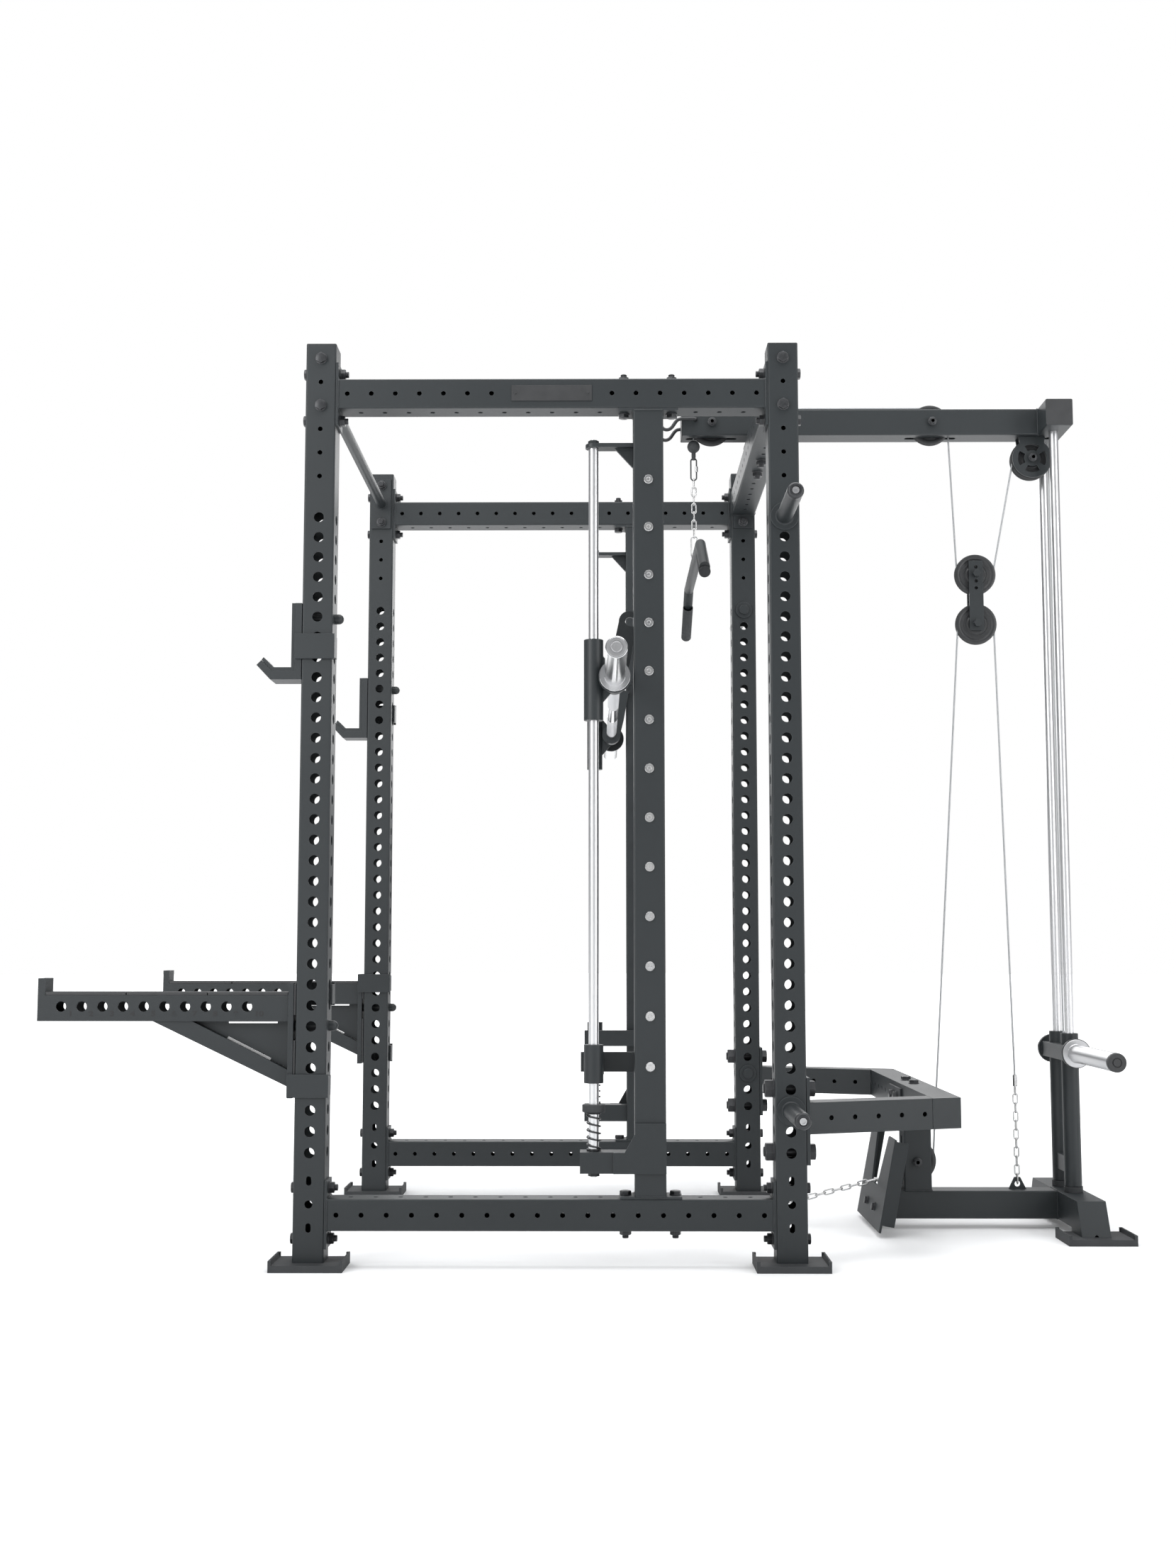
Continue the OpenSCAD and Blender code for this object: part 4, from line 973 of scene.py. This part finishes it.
def storage_pegs(coat, satin, oxide):
    """Plate pegs with a collar at the upright, a rounded end and a socket screw."""
    shape = Shape()
    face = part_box("upright_rear_left")[1].y
    long = (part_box("plate_pegs")[1].y - face) / MM
    peg, rim, crown, tube = 20, 13.5, 9, 75
    dome = [(rim + (peg - rim) * math.cos(math.radians(a)), long - crown + crown * math.sin(math.radians(a)))
        for a in range(0, 91, 15)]
    centres = {tuple(np.round((solid.min(0) + solid.max(0))[[0, 2]] / 2, 4))
        for solid in islands("plate_pegs")}
    for x, z in sorted(centres):
        for sign in SIDES.values():
            origin, way = (x, sign * face, z), sign * Y
            inside = (x, sign * (face - tube * MM), z)
            shape.lathe([(0, 0.1), (34, 0.1), (35, 1.1), (35, 4), (34, 5), (peg + 3, 5), (peg, 8),
                (peg, long - 18), (peg - 0.4, long - 17.5), (0, long - 17.5)], origin, way, 0)
            shape.lathe([(0, long - 17.4), (peg, long - 17.4)] + dome
                + [(10.5, long), (10.5, long - 5), (0, long - 5)], origin, way, 1)
            shape.lathe([(0, long - 5.2), (9, long - 5.2), (9, long - 1.4), (8.2, long - 0.6),
                (5, long - 0.6), (5, long - 4.4), (0, long - 4.4)], origin, way, 2, steps=24)
            shape.lathe([(0, 0), (24, 0), (26, 1), (26, 5), (25, 6), (15, 6), (15, 13), (14, 14), (0, 14)],
                inside, -way, 0)
            shape.lathe([(0, 0), (12.4, 0), (12.4, tube), (0, tube)], inside, way, 1, steps=24)
    piece("storage_pegs", shape, "frame", [coat, satin, oxide], ["plate_pegs"])


# ---------------------------------------------------------------- bars, springs and cables

def bumper_springs(coil, oxide):
    """Springs under the bumper collars, which shorten when the bar lands on them; these are made at their full
    length and stay so.
    """
    low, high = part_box("bumper_springs")
    wire = 2 * MM
    feet = [(*points.mean(0)[:2], low.z + wire) for points in islands("smith_rails")]
    made = coil.grow("bumper_coils", seeds(feet), {"Turns": 6.6, "Radius": 16 * MM,
        "Height": high.z - low.z - 2 * wire, "Wire": wire, "Finish": oxide}, None, "black_steel",
        ["bumper_springs"])
    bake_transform(made)


def round_bends(points, reach, steps=6):
    """A route whose corners are rounded off, starting this far from each."""
    route = [points[0]]
    for before, corner, after in zip(points, points[1:], points[2:]):
        start = corner + (before - corner).normalized() * min(reach, (before - corner).length * 0.49)
        end = corner + (after - corner).normalized() * min(reach, (after - corner).length * 0.49)
        for k in range(steps + 1):
            t = k / steps
            route.append(start * (1 - t) ** 2 + corner * 2 * t * (1 - t) + end * t ** 2)
    return route + [points[-1]]


def cable_guards(oxide):
    """Bent rods at each side of the front pulley, from the beam's side forwards and round the wheel."""
    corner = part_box("cable_guards")[1]
    rod, beam_side = 5 * MM, 37.6 * MM
    bends = [(-5, -5), (-50, -5), (-60, -10), (-75, -33), (-87, -38), (-98, -35), (-104, -27), (-107, -15)]
    for side, sign in SIDES.items():
        points = [Vector((corner.x - rod, sign * beam_side, corner.z - rod))]
        points += [Vector((corner.x + x * MM, sign * (corner.y - rod), corner.z + z * MM)) for x, z in bends]
        shape = Shape()
        shape.sweep(round_bends(points, 9 * MM), rod, up=Vector((0, 0.3, 1)).normalized())
        piece(f"cable_guard_{side}", shape, "frame", [oxide], ["cable_guards"])


def arc(centre, radius, start, end, steps=16):
    """Points on an arc about a pulley, from one angle to another, in degrees."""
    turns = [math.radians(start + (end - start) * k / steps) for k in range(steps + 1)]
    return [centre + Vector((math.cos(a), 0, math.sin(a))) * radius for a in turns]


def run(name, route, strand, node, bodies):
    """A stretch of cable: on one body, or from the body at its start to the body at its end."""
    shape = Shape()
    shape.sweep(route, 2.5 * MM, sides=12)
    made = piece(name, shape, None if len(bodies) > 1 else bodies[0], [strand], [node])
    if len(bodies) > 1:
        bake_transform(made)


def cables(strand):
    """The lat cable and the row cable: straight runs between pulleys, and a turn round each."""
    wrap = 50.6 * MM
    front, mid, rear, low = [middle(f"pulley_{name}") for name in ("front", "mid", "rear", "low")]
    upper, lower = middle("block_pulley_upper"), middle("block_pulley_lower")
    over, side = wrap * Z, wrap * X
    ball = Vector((front.x - wrap, 0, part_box("lat_chain")[1].z - 4 * MM))
    horn = Vector((middle("guide_rods").x, 0, middle("weight_horns").z + 22 * MM))
    run("lat_cable_handle", [ball, front - side], strand, "lat_cable", ["lat_line", "frame"])
    run("lat_cable_top", arc(front, wrap, 180, 90) + arc(mid, wrap, 90, 0), strand, "lat_cable", ["frame"])
    run("lat_cable_down", [mid + side, upper - side], strand, "lat_cable", ["frame", "pulley_block"])
    run("lat_cable_block", arc(upper, wrap, 180, 360), strand, "lat_cable", ["pulley_block"])
    run("lat_cable_up", [upper + side, rear - side], strand, "lat_cable", ["pulley_block", "frame"])
    run("lat_cable_rear", arc(rear, wrap, 180, 0), strand, "lat_cable", ["frame"])
    run("lat_cable_weight", [rear + side, horn], strand, "lat_cable", ["frame", "weight_carriage"])
    anchor = Vector((middle("anchor_chain").x, 0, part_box("anchor_chain")[1].z - 4 * MM))
    notch = Vector((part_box("row_chain")[1].x - 4 * MM, 0, low.z - wrap))
    run("row_cable_anchor", [anchor, lower + side], strand, "row_cable", ["frame", "pulley_block"])
    run("row_cable_block", arc(lower, wrap, 0, 180), strand, "row_cable", ["pulley_block"])
    run("row_cable_down", [lower - side, low + side], strand, "row_cable", ["pulley_block", "frame"])
    run("row_cable_low", arc(low, wrap, 0, -90), strand, "row_cable", ["frame"])
    run("row_cable_handle", [low - over, notch], strand, "row_cable", ["frame", "row_line"])


def hanging_chain(zinc, rubber):
    """The lat chain with its rubber ball, which is the one solid wider than a link."""
    shape = Shape()
    shape.copy("lat_chain")
    for faces in shape.solids():
        across = [vert.co.y for face in faces for vert in face.verts]
        if max(across) - min(across) > 30 * MM:
            for face in faces:
                face.material_index = 1
    piece("hanging_chain", shape, "lat_line", [zinc, rubber], ["lat_chain"], outward=False)


# ---------------------------------------------------------------- marks

def digit(number, align):
    """The mesh of a raised numeral, lying flat at the origin."""
    data = bpy.data.curves.new("digit", "FONT")
    data.body = str(number)
    data.size = 17 * MM
    data.extrude = 0.2 * MM
    data.offset = 0.6 * MM
    data.align_x = align
    mark = bpy.data.objects.new("digit", data)
    bpy.context.collection.objects.link(mark)
    graph = bpy.context.evaluated_depsgraph_get()
    mesh = bpy.data.meshes.new_from_object(mark.evaluated_get(graph), depsgraph=graph)
    bpy.data.objects.remove(mark)
    return mesh


def arm_digits(black):
    """The numbers 1 to 10 beside the holes of each spotter arm, on its outer face."""
    first_hole, pitch, aside, baseline = 57, 50, 18, 195.5
    upright, wide = Matrix.Rotation(math.radians(90), 4, "X"), Matrix.Diagonal((1.35, 1, 1, 1))
    for side, sign in SIDES.items():
        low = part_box(f"spotter_arm_{side}")[0]
        outer = middle(f"arm_pad_{side}").y + sign * 30.2 * MM
        facing, align = Matrix.Rotation(0 if sign < 0 else math.pi, 4, "Z"), "LEFT" if sign < 0 else "RIGHT"
        joined = Shape()
        for k in range(10):
            mesh = digit(k + 1, align)
            along = low.x + (first_hole + aside + pitch * k) * MM
            place = Matrix.Translation((along, outer, low.z + baseline * MM))
            mesh.transform(place @ facing @ upright @ wide)
            joined.mesh.from_mesh(mesh)
        piece(f"arm_digits_{side}", joined, f"spotter_arm_{side}", [black])


def lat_grips(rubber):
    """Sleeves on the bent ends of the lat bar."""
    fall = math.radians(30)
    for side, sign in SIDES.items():
        way = Vector((0, sign * math.cos(fall), -math.sin(fall)))
        bend = (middle("lat_bar").x, sign * 292 * MM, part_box("lat_bar")[1].z - 56 * MM)
        shape = Shape()
        shape.lathe([(14.05, 60), (15, 60.5), (15.2, 62), (15.2, 200), (13.5, 203.5), (10, 204.5), (0, 205),
            (0, 201.2), (14.05, 201.2)], bend, way, steps=40, loop=True)
        piece(f"lat_grip_{side}", shape, "lat_bar", [rubber])


# ---------------------------------------------------------------- carried-over CAD

SOFTENED = {
    "tube_caps": 1.2, "rubber_feet": 2.0, "name_plate": 0.8, "rail_brackets": 0.8, "rail_bases": 1.0,
    "foot_plate": 1.0, "pulley_bracket": 0.6, "pulley_block": 0.6, "bumper_collars": 1.5,
    "smith_slides": 0.7, "smith_hooks": 0.8, "safety_stop_right": 0.8, "safety_stop_left": 0.8,
    "arm_pad_right": 1.0, "arm_pad_left": 1.0,
}


def soften(finish_of):
    """CAD pieces whose cut or moulded edges are really rounded."""
    for node, width in SOFTENED.items():
        shape = Shape()
        shape.copy(node)
        piece(node + "_rounded", shape, body_of[node], [finish_of[slot_of[node]]], [node],
            soften=width * MM, outward=False)


def coat_nodes(finish_of, special):
    """Gives each CAD node the finish of its slot, or its own."""
    for name, node in cad.items():
        finish = special.get(name, finish_of[slot_of[name]])
        if not node.material_slots:
            node.data.materials.append(finish)
        for slot in node.material_slots:
            slot.material = finish


def build():
    stand_camera()
    light_studio()
    lay_floor()
    coat, zinc, oxide = powder_coat(), zinc_plate(), black_oxide()
    plastic, rubber, strand = moulded_plastic(), moulded_rubber(), stranded_cable()
    upright_chrome = bright_bar("chromed rods", Z, 0.70, 0.27)
    chrome = bright_bar("chromed sleeves", Y)
    satin = bright_bar("satin steel", Y, 0.50, 0.3)
    brushed = bright_bar("brushed chrome", Y, 0.56, 0.30)
    finish_of = {"powder_coat": coat, "black_plastic": plastic, "rubber": rubber, "pulley_nylon": plastic,
        "black_steel": oxide, "chrome": chrome, "zinc": zinc}
    coat_nodes(finish_of, {"smith_rails": upright_chrome, "guide_rods": upright_chrome})
    scatter, bead, coil = scatter_net(), bead_net(), coil_net()
    fasteners(scatter, oxide)
    catch_pegs(scatter, zinc)
    weld_frame(bead, coat)
    weld_arms(bead, coat)
    pulleys(turned_nylon, satin)
    axle_bolts(oxide)
    loading_sleeves(chrome)
    weight_horns(brushed, plastic, rubber)
    guided_bar(knurled_bar(), satin)
    ground_rods(upright_chrome)
    storage_pegs(coat, oxide, satin)
    bumper_springs(coil, oxide)
    cable_guards(oxide)
    cables(strand)
    hanging_chain(zinc, rubber)
    arm_digits(engraved_black())
    lat_grips(rubber)
    soften(finish_of)


build()
